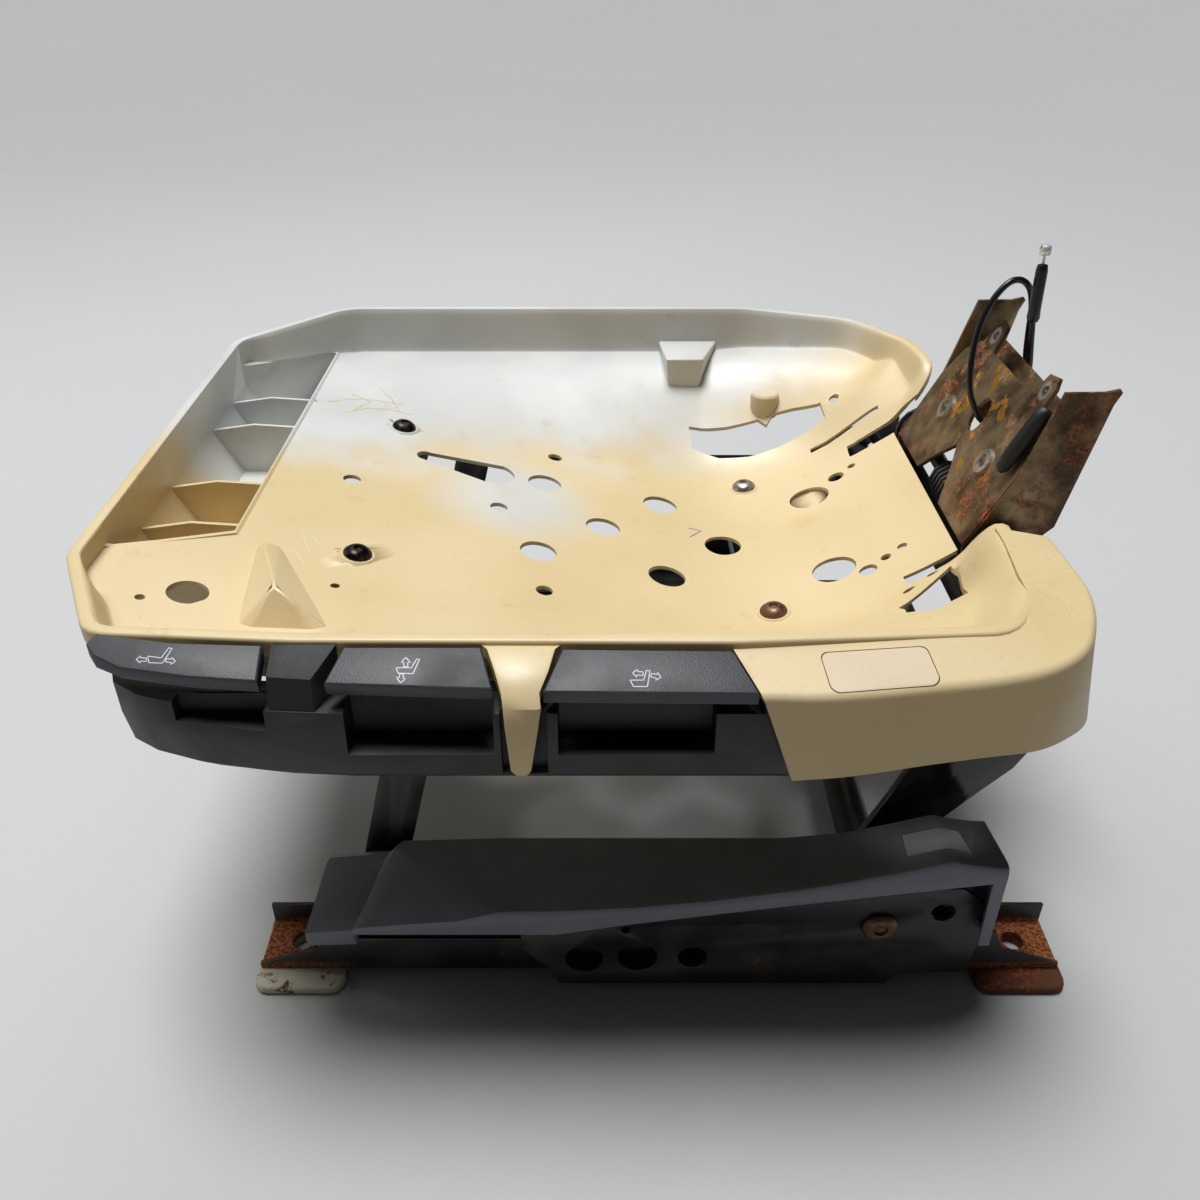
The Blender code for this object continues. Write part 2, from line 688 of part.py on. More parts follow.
def cover_window(mat, carrier):
    window = make("cover_window_left", cover_shell(), mat, carrier)
    combine(window, window_prism(0.0), "INTERSECT")
    return window


# Height linkage

def rear_link(side, mat, carrier):
    x = REAR_PIVOT_X
    z = PIVOT_Z
    outline = arc(x, z, LINK_EYE_R, 180, 330, 9)
    outline += [(x + 30, z + 26), (x + 47, z + 51), (x + 68, z + 76), (x + 84, z + 94),
                (x + LINK_BULGE, z + 108),
                (x + LINK_BULGE - 3, z + 124), (x + LINK_BULGE - 14, z + 136),
                (x + LINK_DX + 26, z + LINK_DZ + 8)]
    outline += arc(x + LINK_DX + 1, z + LINK_DZ, LINK_TOP_R, 60, 180, 7)
    outline += [(x + 18.5, z + 112), (x + 17, z + 94), (x + 7, z + 68), (x - 4, z + 43), (x - 11, z + 24)]
    link = make(f"rear_link_{side_name(side)}", sided(side, outline, "Y", LINK_INNER_Y,
                                                      LINK_INNER_Y + LINK_T),
                mat, carrier)
    cut(link, merge(
        sided(side, circle(x, z, PIVOT_BOLT_R + RUNNING), "Y", LINK_INNER_Y - 3, LINK_INNER_Y + LINK_T + 3),
        sided(side, circle(x + LINK_DX, z + LINK_DZ, SHAFT_R + GAP), "Y", LINK_INNER_Y - 3,
              LINK_INNER_Y + LINK_T + 3)))
    return link


def front_link(side, mat, carrier):
    x = FRONT_PIVOT_X
    z = PIVOT_Z
    lean = math.degrees(math.atan2(LINK_DZ, LINK_DX))
    outline = arc(x, z, LINK_EYE_R, lean + 90, lean + 270, 9)
    outline += arc(x + LINK_DX, z + LINK_DZ, LINK_EYE_R, lean - 90, lean + 90, 9)
    link = make(f"front_link_{side_name(side)}", sided(side, outline, "Y", LINK_INNER_Y,
                                                       LINK_INNER_Y + LINK_T),
                mat, carrier)
    cut(link, merge(
        sided(side, circle(x, z, PIVOT_BOLT_R + RUNNING), "Y", LINK_INNER_Y - 3, LINK_INNER_Y + LINK_T + 3),
        sided(side, circle(x + LINK_DX, z + LINK_DZ, SHAFT_R + RUNNING), "Y", LINK_INNER_Y - 3,
              LINK_INNER_Y + LINK_T + 3)))
    return link


def torque_tube(name, x, mat, carrier):
    half = LINK_INNER_Y - GAP
    return make(name, ring_tube(TUBE_R, TUBE_BORE_R, (x, -half, PIVOT_Z), (0, 1, 0), 2 * half, 20), mat,
                carrier)


def height_quadrant(mat, carrier):
    """A toothed sector on the rear upper shaft."""
    cx = REAR_PIVOT_X + LINK_DX
    cz = PIVOT_Z + LINK_DZ
    step = 8.0
    first = PAWL_ANGLE + step * (QUADRANT_TEETH - 1.5)
    outline = []
    for i in range(QUADRANT_TEETH):
        middle = first - i * step
        for turn, radius in ((3.2, QUADRANT_R - 4), (1.4, QUADRANT_R), (-1.4, QUADRANT_R),
                             (-3.2, QUADRANT_R - 4)):
            a = math.radians(middle + turn)
            outline.append((cx + radius * math.cos(a), cz + radius * math.sin(a)))
    outline += arc(cx, cz, 12, 100, -140, 10)
    quadrant = make("height_quadrant", prism("Y", outline, -QUADRANT_Y - QUADRANT_T, -QUADRANT_Y), mat,
                    carrier)
    cut(quadrant, prism("Y", circle(cx, cz, SHAFT_R + GAP), -QUADRANT_Y - QUADRANT_T - 3, -QUADRANT_Y + 3))
    return quadrant


def height_pawl(mat, carrier):
    """A one-tooth pawl whose pin sits on the left side member."""
    cx = REAR_PIVOT_X + LINK_DX
    cz = PIVOT_Z + LINK_DZ
    out = Vector((math.cos(math.radians(PAWL_ANGLE)), math.sin(math.radians(PAWL_ANGLE))))
    across = Vector((out.y, -out.x))
    tip = Vector((cx, cz)) + out * (QUADRANT_R + 0.6)
    outline = arc(PAWL_X, PAWL_Z, 6, 250, 90, 6)
    outline += [tuple(tip + out * 9 - across * 5), tuple(tip + out * 8 + across * 4),
                tuple(tip + across * 1.2),
                tuple(tip - across * 1.2), tuple(tip + out * 4 - across * 4.5)]
    pawl = make("height_pawl", prism("Y", outline, -QUADRANT_Y - QUADRANT_T, -QUADRANT_Y), mat, carrier)
    join(pawl, prism("Y", circle(PAWL_X, PAWL_Z, 3.5, 16), -(FRAME_SIDE_Y - GAP), -QUADRANT_Y + 3))
    return pawl


# Seat pan

def floor_height(x, y):
    """Top of the pan: a sloped plane that curves up to the rear and swells up at both sides."""
    base = FLOOR_Z - FLOOR_SLOPE * x + FLOOR_CURVE * max(0.0, x - FLOOR_CURVE_START) ** 2
    rear = min(max((x - 50) / 145, 0.0), 1.0)
    top = BOLSTER_Z + 16 * rear
    start = BOLSTER_START - 15 * rear
    end = BOLSTER_END - 40 * rear
    corner = 11 * smoothstep((x - 140) / 50) * smoothstep((abs(y) - SLOT_INNER) / 32)
    swell = max(0.0, top - base) * smoothstep((abs(y) - start) / (end - start))
    return base + min(swell + corner, max(swell, 28.0))


PAN_CORNERS = ((-351, near(-176), 22), (-311, near(-254), 20), (-200, near(-261), 120),
               (30, -PAN_HALF_NEAR, 60),
               (178, near(-254), 26), (204, near(-206), 40), (206, -PAN_TAB_HALF - 35.5, 30),
               (PAN_TAB_X, -PAN_TAB_HALF, 0), (PAN_TAB_X, PAN_TAB_HALF, 0), (230, PAN_TAB_HALF + 23.5, 10),
               (222, 172, 40), (180, 226, 50), (90, PAN_HALF_FAR, 60), (-274, PAN_HALF_FAR, 40),
               (-351, 172, 30))
PAN_POINT_COUNT = 72


def even_loop(points, count):
    """Points at even steps round a closed outline, with its sharp corners kept close."""
    loop = [Vector(p) for p in points]
    lengths = [(loop[(i + 1) % len(loop)] - loop[i]).length for i in range(len(loop))]
    total = sum(lengths)
    result = []
    for k in range(count):
        target = total * k / count
        i = 0
        while target > lengths[i]:
            target -= lengths[i]
            i += 1
        result.append(loop[i].lerp(loop[(i + 1) % len(loop)], target / lengths[i]))
    for corner in (Vector((PAN_TAB_X, -PAN_TAB_HALF)), Vector((PAN_TAB_X, PAN_TAB_HALF))):
        nearest = min(range(count), key=lambda k: (result[k] - corner).length)
        result[nearest] = corner
    return result


def rim_lift(x, y):
    """1 along the rim, falling to 0 at the tab where the pan ends in a plain edge."""
    if x < 150:
        return 1.0
    return smoothstep((abs(y) - PAN_TAB_HALF + 3) / 46)


def pan_shell():
    outline = even_loop(rounded(PAN_CORNERS, 5), PAN_POINT_COUNT)
    total = len(outline)
    inward = []
    for i in range(total):
        along = (outline[(i + 1) % total] - outline[i - 1]).normalized()
        inward.append(Vector((-along.y, along.x)))
    centre = Vector((-60.0, 0.0))

    def ring(offset, drop, foot=0.0):
        points = []
        for p, n in zip(outline, inward):
            lift = rim_lift(p.x, p.y)
            reach = offset * lift if offset < 0 and foot == 0 else offset
            wall = 5.0 if p.x < -335 else 13.0
            q = p + n * (reach + foot * wall)
            crest = RIM_Z + RIM_TILT * p.y
            low = floor_height(q.x, q.y)
            z = low + max(0.0, crest - low) * lift * (1.0 - foot)
            points.append((q.x, q.y, z - (drop[0] * (1 - lift) + drop[1] * lift)))
        return points

    def floor_ring(scale, drop):
        points = []
        for p, n in zip(outline, inward):
            wall = 5.0 if p.x < -335 else 13.0
            q = centre + (p + n * (wall + 1) - centre) * scale
            points.append((q.x, q.y, floor_height(q.x, q.y) - drop))
        return points

    scales = (0.96, 0.88, 0.78, 0.66, 0.51, 0.32, 0.12)
    top = [ring(-2, (3.4, SKIRT_DEPTH)), ring(-2, (1.4, 1.6)), ring(0, (0, 0)), ring(RIM_WIDTH, (0, 0.4)),
           ring(1, (0, 0), foot=1.0)]
    top += [floor_ring(s, 0.0) for s in scales]
    under = [ring(0.6, (3.4, SKIRT_DEPTH)), ring(0.6, (3.0, 3.4)), ring(RIM_WIDTH - 3.2, (3.0, 3.6)),
             ring(-3.0, (PAN_T, PAN_T), foot=1.0)]
    under += [floor_ring(s, PAN_T) for s in scales]
    bm = loft(list(reversed(top)) + under)
    bm.faces.ensure_lookup_table()
    split = len(top) * PAN_POINT_COUNT
    upper, lower = bm.faces[:split], bm.faces[split:]
    bmesh.ops.poke(bm, faces=[f for f in lower if len(f.verts) > 4])
    bmesh.ops.triangulate(bm, faces=upper, quad_method="FIXED")
    bmesh.ops.triangulate(bm, faces=[f for f in bm.faces if len(f.verts) == 4], quad_method="ALTERNATE")
    return bm


VALANCE_STATIONS = (
    # rim side (x, y, z), outer top edge (x, y, z), bottom edge (x, y, z)
    ((25, -258, 311.3), (40, -294, 301.5), (60, -292, 244)),
    ((72, -256, 312.4), (75, -294, 301.2), (90, -292, 247)),
    ((130, -254, 314), (130, -289, 303.5), (130, -291, 254)),
    ((165, -251, 314), (165, -285, 305.5), (160, -289, 257.5)),
    ((184, -243, 314), (190, -279, 307.5), (190, -281, 255)),
    ((196, -226, 314), (210, -267, 311), (212, -267, 251.5)),
    ((199, -200, 314), (222, -245, 314), (231, -248, 248)),
    ((201, -178, 314.2), (229, -218, 315.5), (239, -223, 249)),
    ((202, -162, 314.2), (229, -186, 315.8), (240, -190, 253)),
    ((202, -147, 314), (228, -158, 315.5), (238, -162, 262)),
)


def valance_shell():
    """The side flange and its outer wall, swept round the near rear corner."""
    rings = []
    count = len(VALANCE_STATIONS)
    for k, (rim, edge, foot) in enumerate(VALANCE_STATIONS):
        before = Vector(VALANCE_STATIONS[max(k - 1, 0)][1])
        after = Vector(VALANCE_STATIONS[min(k + 1, count - 1)][1])
        along = (after - before).normalized()
        inward = Vector((-along.y, along.x, 0)).normalized()
        rim_v = Vector((rim[0], near(rim[1]), rim[2]))
        edge_v = Vector((edge[0], near(edge[1]), edge[2]))
        foot_v = Vector((foot[0], near(foot[1]), foot[2]))
        down = Vector((0, 0, -PAN_T))
        soft_top = edge_v + (rim_v - edge_v).normalized() * 4
        soft_side = edge_v + (foot_v - edge_v).normalized() * 4
        soft_edge = (soft_top + soft_side + edge_v) / 3
        rings.append([rim_v, soft_top, soft_edge, soft_side, foot_v, foot_v + inward * PAN_T,
                      soft_side + inward * PAN_T + down * 0.4, soft_top + down + inward * 0.6, rim_v + down])
    return loft(rings)


def flange_z(y):
    """Height of the sloped outer flange, which the paddles continue."""
    return 316 + FLANGE_SLOPE * (y - near(-258))


def strut_shell():
    """The V-shaped strut of the pan that hangs down between two paddles."""
    rows = ((-258.5, 311.0, -107, -58, 4.0, 0.0), (-268, flange_z(near(-268)), -99.5, -64.5, 4.0, 0.0),
            (-280, flange_z(near(-280)), -95, -67.5, 4.5, 0.0),
            (-292, flange_z(near(-292)), -91, -71.8, 6.0, 3.0),
            (-297, 296.0, -90, -71, 5.0, 7.0), (-298.5, 285.0, -89.5, -72.5, 0.0, 9.0),
            (-298.5, 256.0, -87.5, -77.0, 0.0, 9.0), (-296.5, 251.5, -85.5, -79.0, -1.0, 7.0))
    rings = []
    for drawn_y, z, x0, x1, drop, back in rows:
        y = near(drawn_y)
        rings.append([(x0, y, z), (x1, y, z), (x1, y + back, z - drop), (x0, y + back, z - drop)])
    return loft(rings)


def cap_prism(grow):
    plan = rounded([(72 - grow, near(-267.0) + grow, 4), (127 + grow, near(-263.5) + grow, 4),
                    (130.5 + grow, near(-286.5) - grow, 5), (75 - grow, near(-291.0) - grow, 5)], 3)
    return prism("Z", plan, 296 - grow, 330)


def trough(outer):
    """The moulded trough behind the front wall: its outside (union) or the air in it (cut)."""
    if outer:
        section = [(-350.5, 306), (-348.5, 283), (-330, TROUGH_Z - PAN_T), (-299, TROUGH_Z - PAN_T),
                   (-275, 284), (-279, 288.2), (-340, 299.5)]
        grow = 3.0
    else:
        section = [(-345.2, 330), (-345.2, 284), (-326, TROUGH_Z), (-302, TROUGH_Z), (-280, 287.6),
                   (-284, 330)]
        grow = 0.0
    bm = prism("Y", section, -170, 226 + grow)
    near = Vector((73.0, 46.0, 0.0)).normalized()
    near_normal = Vector((near.y, -near.x, 0))
    far = Vector((77.0, 84.0, 0.0)).normalized()
    far_normal = Vector((-far.y, far.x, 0))
    for point, normal in ((Vector((-278, -100, 0)) + near_normal * grow, near_normal),
                          (Vector((-346, 158, 0)) + far_normal * grow, far_normal)):
        geom = bm.verts[:] + bm.edges[:] + bm.faces[:]
        result = bmesh.ops.bisect_plane(bm, geom=geom, plane_co=point, plane_no=normal, clear_outer=True)
        rim = [g for g in result["geom_cut"] if isinstance(g, bmesh.types.BMEdge)]
        bmesh.ops.contextual_create(bm, geom=rim)
    return bm


def fins():
    shape = [(-347, 284), (-312, 289), (-277, 286.5), (-296, TROUGH_Z - 2), (-331, TROUGH_Z - 2)]
    return merge(*[prism("Y", shape, y - FIN_T / 2, y + FIN_T / 2) for y in FIN_YS])


def pan_bumps():
    """The roof-shaped bump, the shelf block on the far wall and the round boss."""
    def on(x, y, up):
        return (x, y, floor_height(x, y) + up)
    roof = hull([on(-252, -202, -1.5), on(-198, -202, -1.5), (-230, -190, 303), on(-264, -112, -1.5),
                 on(-250, -106, -1.5), (-257, -116, 289), on(-244, -206, -1.5), on(-206, -206, -1.5)])
    shelf = hull([(17, 198, 293), (50, 198, 293), (12, 246, 293), (66, 246, 293), (20, 200, 264),
                  (47, 200, 264),
                  (20, 246, 270), (56, 246, 270)])
    boss = turned([(11.5, 251), (12.5, 268), (11, 271), (5, 272)], (103, 175, 0), (0, 0, 1), 16)
    return roof, shelf, boss


def arc_opening():
    """The curved see-through opening in the far bolster, with its pointed notch."""
    lower = [(39, 149), (62, 139), (88, 136), (115, 138), (137, 142), (152, 147)]
    upper = [(149, 160), (126, 164), (110, 165), (104, 158), (97, 164), (70, 164), (37, 167)]
    return prism("Z", lower + upper, 200, 300)


def pan_holes():
    """Straight-down holes in the pan's floor."""
    round_holes = [(-224.5, 0, 6.3), (-117.2, 0, 6.5), (-39.1, 0, 13), (52.8, 0, 14), (-85.4, 53.3, 13),
                   (-85.4, -53.3, 13), (6.9, 54.5, 13.5), (6.9, -54.5, 13.5), (126.5, 55.3, 15),
                   (126.5, -55.3, 15), (-78.9, 103.2, 5.8), (-78.9, -103.2, 5.8), (-207.7, -144.6, 3),
                   (-286.9, -176.4, 12), (-309.6, -189.5, 2.9), (150, 72.5, 6), (147, -70, 6), (163, 79, 3),
                   (160, -63, 3.4), (171.5, -59, 3.2), (162, -118, 3.4), (177, -114, 3.2), (160, 158, 4)]
    tools = []
    for x, y, radius in round_holes:
        tools.append(prism("Z", circle(x, y, radius, 18 if radius > 8 else 10 if radius > 4 else 8), 190,
                           320))
    for x, y in (PAN_BOLT_FRONT, PAN_BOLT_REAR):
        for side in (-1, 1):
            tools.append(prism("Z", circle(x, side * y, PAN_BOLT_SHANK_R + 1.2, 8), 190, 320))
    tear = arc(-126, 53, 17, -105, 65, 6) + arc(-179, 61, 7, 65, 250, 5)
    frayed = [(147, -150), (184, -124), (176, -181), (151, -203), (136, -198)]
    shaped = [prism("Z", tear, 230, 320), arc_opening(), prism("Z", frayed, 200, 330),
              box(138, 190, 122, 126, 200, 330)]
    slots = [prism("Y", [(SLOT_FRONT_X, 200), (245, 200), (245, 330), (SLOT_FRONT_X, 330)], side * SLOT_INNER,
                   side * SLOT_OUTER) for side in (-1, 1)]
    return tools, shaped, slots


def slope_axis(x):
    """The direction square to the sloped floor at x."""
    slope = (floor_height(x + 1, 0) - floor_height(x - 1, 0)) / 2
    return Vector((-slope, 0, 1)).normalized()


def at_pan_bolts(profile):
    """The same turned shape at all four pan bolts, square to the floor there."""
    return merge(*[turned(profile, (x, side * y, floor_height(x, y)), slope_axis(x), 14)
                   for x, y in (PAN_BOLT_FRONT, PAN_BOLT_REAR) for side in (-1, 1)])


def seat_pan(mat, carrier):
    pan = make("seat_pan", pan_shell(), mat, carrier, 30)
    join(pan, valance_shell())
    join(pan, strut_shell())
    join(pan, trough(outer=True))
    cut(pan, trough(outer=False))
    join(pan, fins())
    roof, shelf, boss = pan_bumps()
    join(pan, roof)
    join(pan, shelf)
    cut(pan, at_pan_bolts([(PAD_R + 1.0, 0.2), (PAD_R + 1.0, 12)]))
    join(pan, at_pan_bolts([(PAD_R, -2.4), (PAD_R, 0), (PAD_R - 1, PAD_HEIGHT)]))
    cut(pan, cap_prism(GAP))
    for group in pan_holes():
        cut(pan, merge(*group))
    join(pan, boss)
    return pan


def trim_cap(mat, carrier):
    cap = make("trim_cap", valance_shell(), mat, carrier)
    combine(cap, cap_prism(0.0), "INTERSECT")
    return cap


def pan_bolt(name, x, y, mat, carrier):
    """A dome-head bolt, square to the sloped floor."""
    axis = slope_axis(x)
    seat = Vector((x, y, floor_height(x, y))) + axis * (PAD_HEIGHT + GAP)
    profile = [(PAN_BOLT_SHANK_R, -12), (PAN_BOLT_SHANK_R, 0), (PAN_BOLT_R, 0), (PAN_BOLT_R - 0.6, 1.6),
               (PAN_BOLT_R - 3.4, 4.0), (3.2, 5.0), (2.6, 2.8)]
    return make(name, turned(profile, seat, axis), mat, carrier)


# Seat frame

def frame_side(side, mat, carrier):
    front_x = FRONT_PIVOT_X + LINK_DX
    rear_x = REAR_PIVOT_X + LINK_DX
    z = PIVOT_Z + LINK_DZ
    if side < 0:
        top = [(-220, 250), (-100, 250), (0, 246), (150, 246), (200, 246)]
    else:
        top = [(-220, 250), (-120, 250), (10, 203), (148, 203), (166, 226)]
    outline = list(reversed(top))
    outline += [(-220, 236), (front_x - 24, z - 6)]
    outline += arc(front_x, z, 16, 200, 330, 5)
    outline += [(-100, 184), (150, 184)]
    outline += arc(rear_x, z, 16, 215, 330, 5)
    outline += [(206, 216), (229, 220), (229, 242)]
    plate = make(f"pan_frame_{side_name(side)}",
                 sided(side, outline, "Y", FRAME_SIDE_Y, FRAME_SIDE_Y + FRAME_SIDE_T), mat, carrier)
    cut(plate, merge(
        sided(side, circle(front_x, z, SHAFT_R + GAP), "Y", FRAME_SIDE_Y - 3,
              FRAME_SIDE_Y + FRAME_SIDE_T + 3),
        sided(side, circle(rear_x, z, SHAFT_R + RUNNING), "Y", FRAME_SIDE_Y - 3,
              FRAME_SIDE_Y + FRAME_SIDE_T + 3)))
    return plate


def front_member(mat, carrier):
    """An upturned channel whose top follows the pan's floor."""
    x, y = PAN_BOLT_FRONT
    def top(px):
        return floor_height(px, 0) - PAN_T - GAP
    outline = [(x - 17, 242), (x - 17, top(x - 17)), (x + 17, top(x + 17)), (x + 17, 242), (x + 14, 242),
               (x + 14, top(x + 17) - 3), (x - 14, top(x - 17) - 3.5), (x - 14, 242)]
    member = make("front_cross_member", prism("Y", outline, -MEMBER_END_Y, MEMBER_END_Y), mat, carrier)
    cut(member, merge(*[prism("Z", circle(x, side * y, MEMBER_HOLE_R, 12), 245, 290) for side in (-1, 1)]))
    return member


def middle_member(mat, carrier):
    """A low bar with two towers that carry the pan's rear bolts."""
    x, y = PAN_BOLT_REAR
    member = make("middle_cross_member", box(x - 14, x + 14, -MEMBER_END_Y, MEMBER_END_Y, 185, 199), mat,
                  carrier)
    def top(px):
        return floor_height(px, 0) - PAN_T - GAP
    for side in (-1, 1):
        tower = [(x - 13, 196), (x + 13, 196), (x + 13, top(x + 13)), (x, top(x)), (x - 13, top(x - 13))]
        join(member, prism("Y", tower, side * y - 16, side * y + 16))
    cut(member, merge(*[prism("Z", circle(x, side * y, MEMBER_HOLE_R, 12), 190, 230) for side in (-1, 1)]))
    return member


def rear_member(mat, carrier):
    outline = [(203, 223), (227, 223), (227, 240), (203, 240)]
    return make("rear_cross_member", prism("Y", outline, -MEMBER_END_Y, MEMBER_END_Y), mat, carrier)


def recliner_plate(side, mat, carrier):
    outline = [(203, 240 + GAP), (227, 240 + GAP)] + arc(RECLINE_X, RECLINE_Z, 21, -40, 215, 12)
    plate = make(f"recliner_plate_{side_name(side)}",
                 sided(side, outline, "Y", RECLINER_PLATE_Y, RECLINER_PLATE_Y + RECLINER_PLATE_T), mat,
                 carrier)
    cut(plate, sided(side, circle(RECLINE_X, RECLINE_Z, AXLE_R + RUNNING), "Y", RECLINER_PLATE_Y - 3,
                     RECLINER_PLATE_Y + RECLINER_PLATE_T + 3))
    return plate


def front_upper_pin(side, mat, carrier):
    x = FRONT_PIVOT_X + LINK_DX
    z = PIVOT_Z + LINK_DZ
    outer = FRAME_SIDE_Y + FRAME_SIDE_T + GAP
    profile = [(SHAFT_R, LINK_INNER_Y - 4), (SHAFT_R, outer), (9.5, outer), (8.5, outer + 4)]
    return make(f"front_upper_pin_{side_name(side)}", turned(profile, (x, 0, z), (0, side, 0), 20), mat,
                carrier)


# Paddles and their carrier

PADDLE_PLANS = {
    "slide_paddle": ((-215.2, -265.5), (-214.4, -285), (-250, -282.5), (-286, -277.5), (-301, -270.5),
                     (-306.5, -264), (-303, -258.5), (-262, -264.0)),
    "height_paddle": ((-173.5, -266.3), (-102.4, -266.3), (-95.5, -289), (-180.5, -286.2)),
    "recline_paddle": ((-61, -267.5), (27, -268.5), (38.6, -291.5), (-70, -290.5)),
}


def inset_plan(plan, amount):
    """Moves each side of a plan inward, except the inner (rim) side, which moves outward a little."""
    centre = sum((Vector(p) for p in plan), Vector((0, 0))) / len(plan)
    points = []
    for x, y in plan:
        shift = Vector((x, y)) - centre
        nx = x - math.copysign(amount, shift.x)
        ny = y + amount if shift.y < 0 else y + 6
        points.append((nx, ny))
    return points


def paddle(name, mat, carrier):
    plan = [(x, near(y)) for x, y in PADDLE_PLANS[name]]
    chamfer = [(x, y, flange_z(y) - 1.0) for x, y in plan]
    middle = sum((Vector(p) for p in plan), Vector((0, 0))) / len(plan)
    top = [(x + (middle.x - x) * 0.02, y + (middle.y - y) * 0.05, flange_z(y) + 0.0) for x, y in plan]
    bottom = [(x, y + 1.5 if y < near(-275) else y, flange_z(y) - PADDLE_LIP) for x, y in plan]
    piece = make(name, loft([bottom, chamfer, top]), mat, carrier)
    inner = inset_plan(plan, 2.6)
    hollow = [[(x, y, flange_z(y) - 30) for x, y in inner],
              [(x, y, flange_z(y) - PADDLE_T) for x, y in inner]]
    cut(piece, loft(hollow))
    xs = [p[0] for p in plan if p[1] > near(-272)]
    low, high = min(xs) + 6, max(xs) - 3
    if name == "slide_paddle":
        low = -258
    join(piece, turned([(BARREL_R, low), (BARREL_R, high)], (0, BARREL_Y, BARREL_Z), (1, 0, 0), 12))
    return piece


def carrier_plan(x_end, face):
    return [(-302, near(-256)), (-299, near(-263)), (-283, near(-274)), (-257, near(-283)), (-215, face + 2),
            (-170, face), (x_end, face), (x_end, near(-262.5)), (-262, near(-262.5)), (-286, near(-257))]


def paddle_carrier(mat, carrier):
    top_end = 39.5 + (CARRIER_TOP_Z - 301.5) * -0.348 - 0.9
    low_end = 39.5 + (CARRIER_BOTTOM_Z - 301.5) * -0.348 - 0.9
    rings = []
    for z, x_end, face, shrink in ((CARRIER_BOTTOM_Z, low_end, CARRIER_FACE_Y + 4, 6.0),
                                   (CARRIER_BOTTOM_Z + 5, low_end - 1.7, CARRIER_FACE_Y, 1.5),
                                   (CARRIER_TOP_Z - 20, top_end + 7, CARRIER_FACE_Y, 0.0),
                                   (CARRIER_TOP_Z, top_end, CARRIER_FACE_Y + 1.5, 0.0)):
        rings.append([(x + (shrink * 2 if x < -200 else 0),
                       y + (shrink * 0.6 if near(-285) < y < near(-265) else 0), z)
                      for x, y in carrier_plan(x_end, face)])
    piece = make("paddle_carrier", loft(rings), mat, carrier)
    rail_top = BARREL_Z - BARREL_R - GAP
    saddles = [box(x0, x1, near(-272), near(-263), CARRIER_TOP_Z - 4, rail_top)
               for x0, x1 in ((-252, -221), (-163, -109), (-54, 17))]
    join(piece, merge(*saddles))
    filler = ((-210.8, near(-264.5)), (-177.5, near(-264.5)), (-187.5, near(-284)), (-210.2, near(-282.5)))
    foot = ((-210.8, near(-264.5)), (-178.0, near(-264.5)), (-186.5, near(-290.2)), (-210.2, near(-288.5)))
    join(piece, loft([[(x, y, CARRIER_TOP_Z - 3) for x, y in foot],
                      [(x, y, flange_z(y) - 0.5) for x, y in filler]]))
    face = CARRIER_FACE_Y - 8
    recesses = [box(-262, -213, face, CARRIER_FACE_Y + RECESS_DEPTH, 276, CARRIER_TOP_Z + 4),
                box(-172, -96, face, CARRIER_FACE_Y + RECESS_DEPTH, 262, CARRIER_TOP_Z + 4),
                box(-63, 18, face, CARRIER_FACE_Y + RECESS_DEPTH, 262, CARRIER_TOP_Z + 4),
                box(-92.5, -68.5, face, near(-286.5), 249.5, 320)]
    cut(piece, merge(*recesses))
    return piece


# Backrest stub

def lean_x(z):
    return BACK_PLATE_X + BACK_LEAN * (z - RECLINE_Z)


def on_plate(y, z, depth=0.0):
    """A point on the leaning plate; depth goes rearward, square to the plate."""
    size = math.hypot(1.0, BACK_LEAN)
    return (lean_x(z) + depth / size, y, z - depth * BACK_LEAN / size)


def plate_prism(outline, front, back):
    """An outline of (y, z) points on the plate's face, pushed square to it."""
    return loft([[on_plate(y, z, front) for y, z in outline], [on_plate(y, z, back) for y, z in outline]])


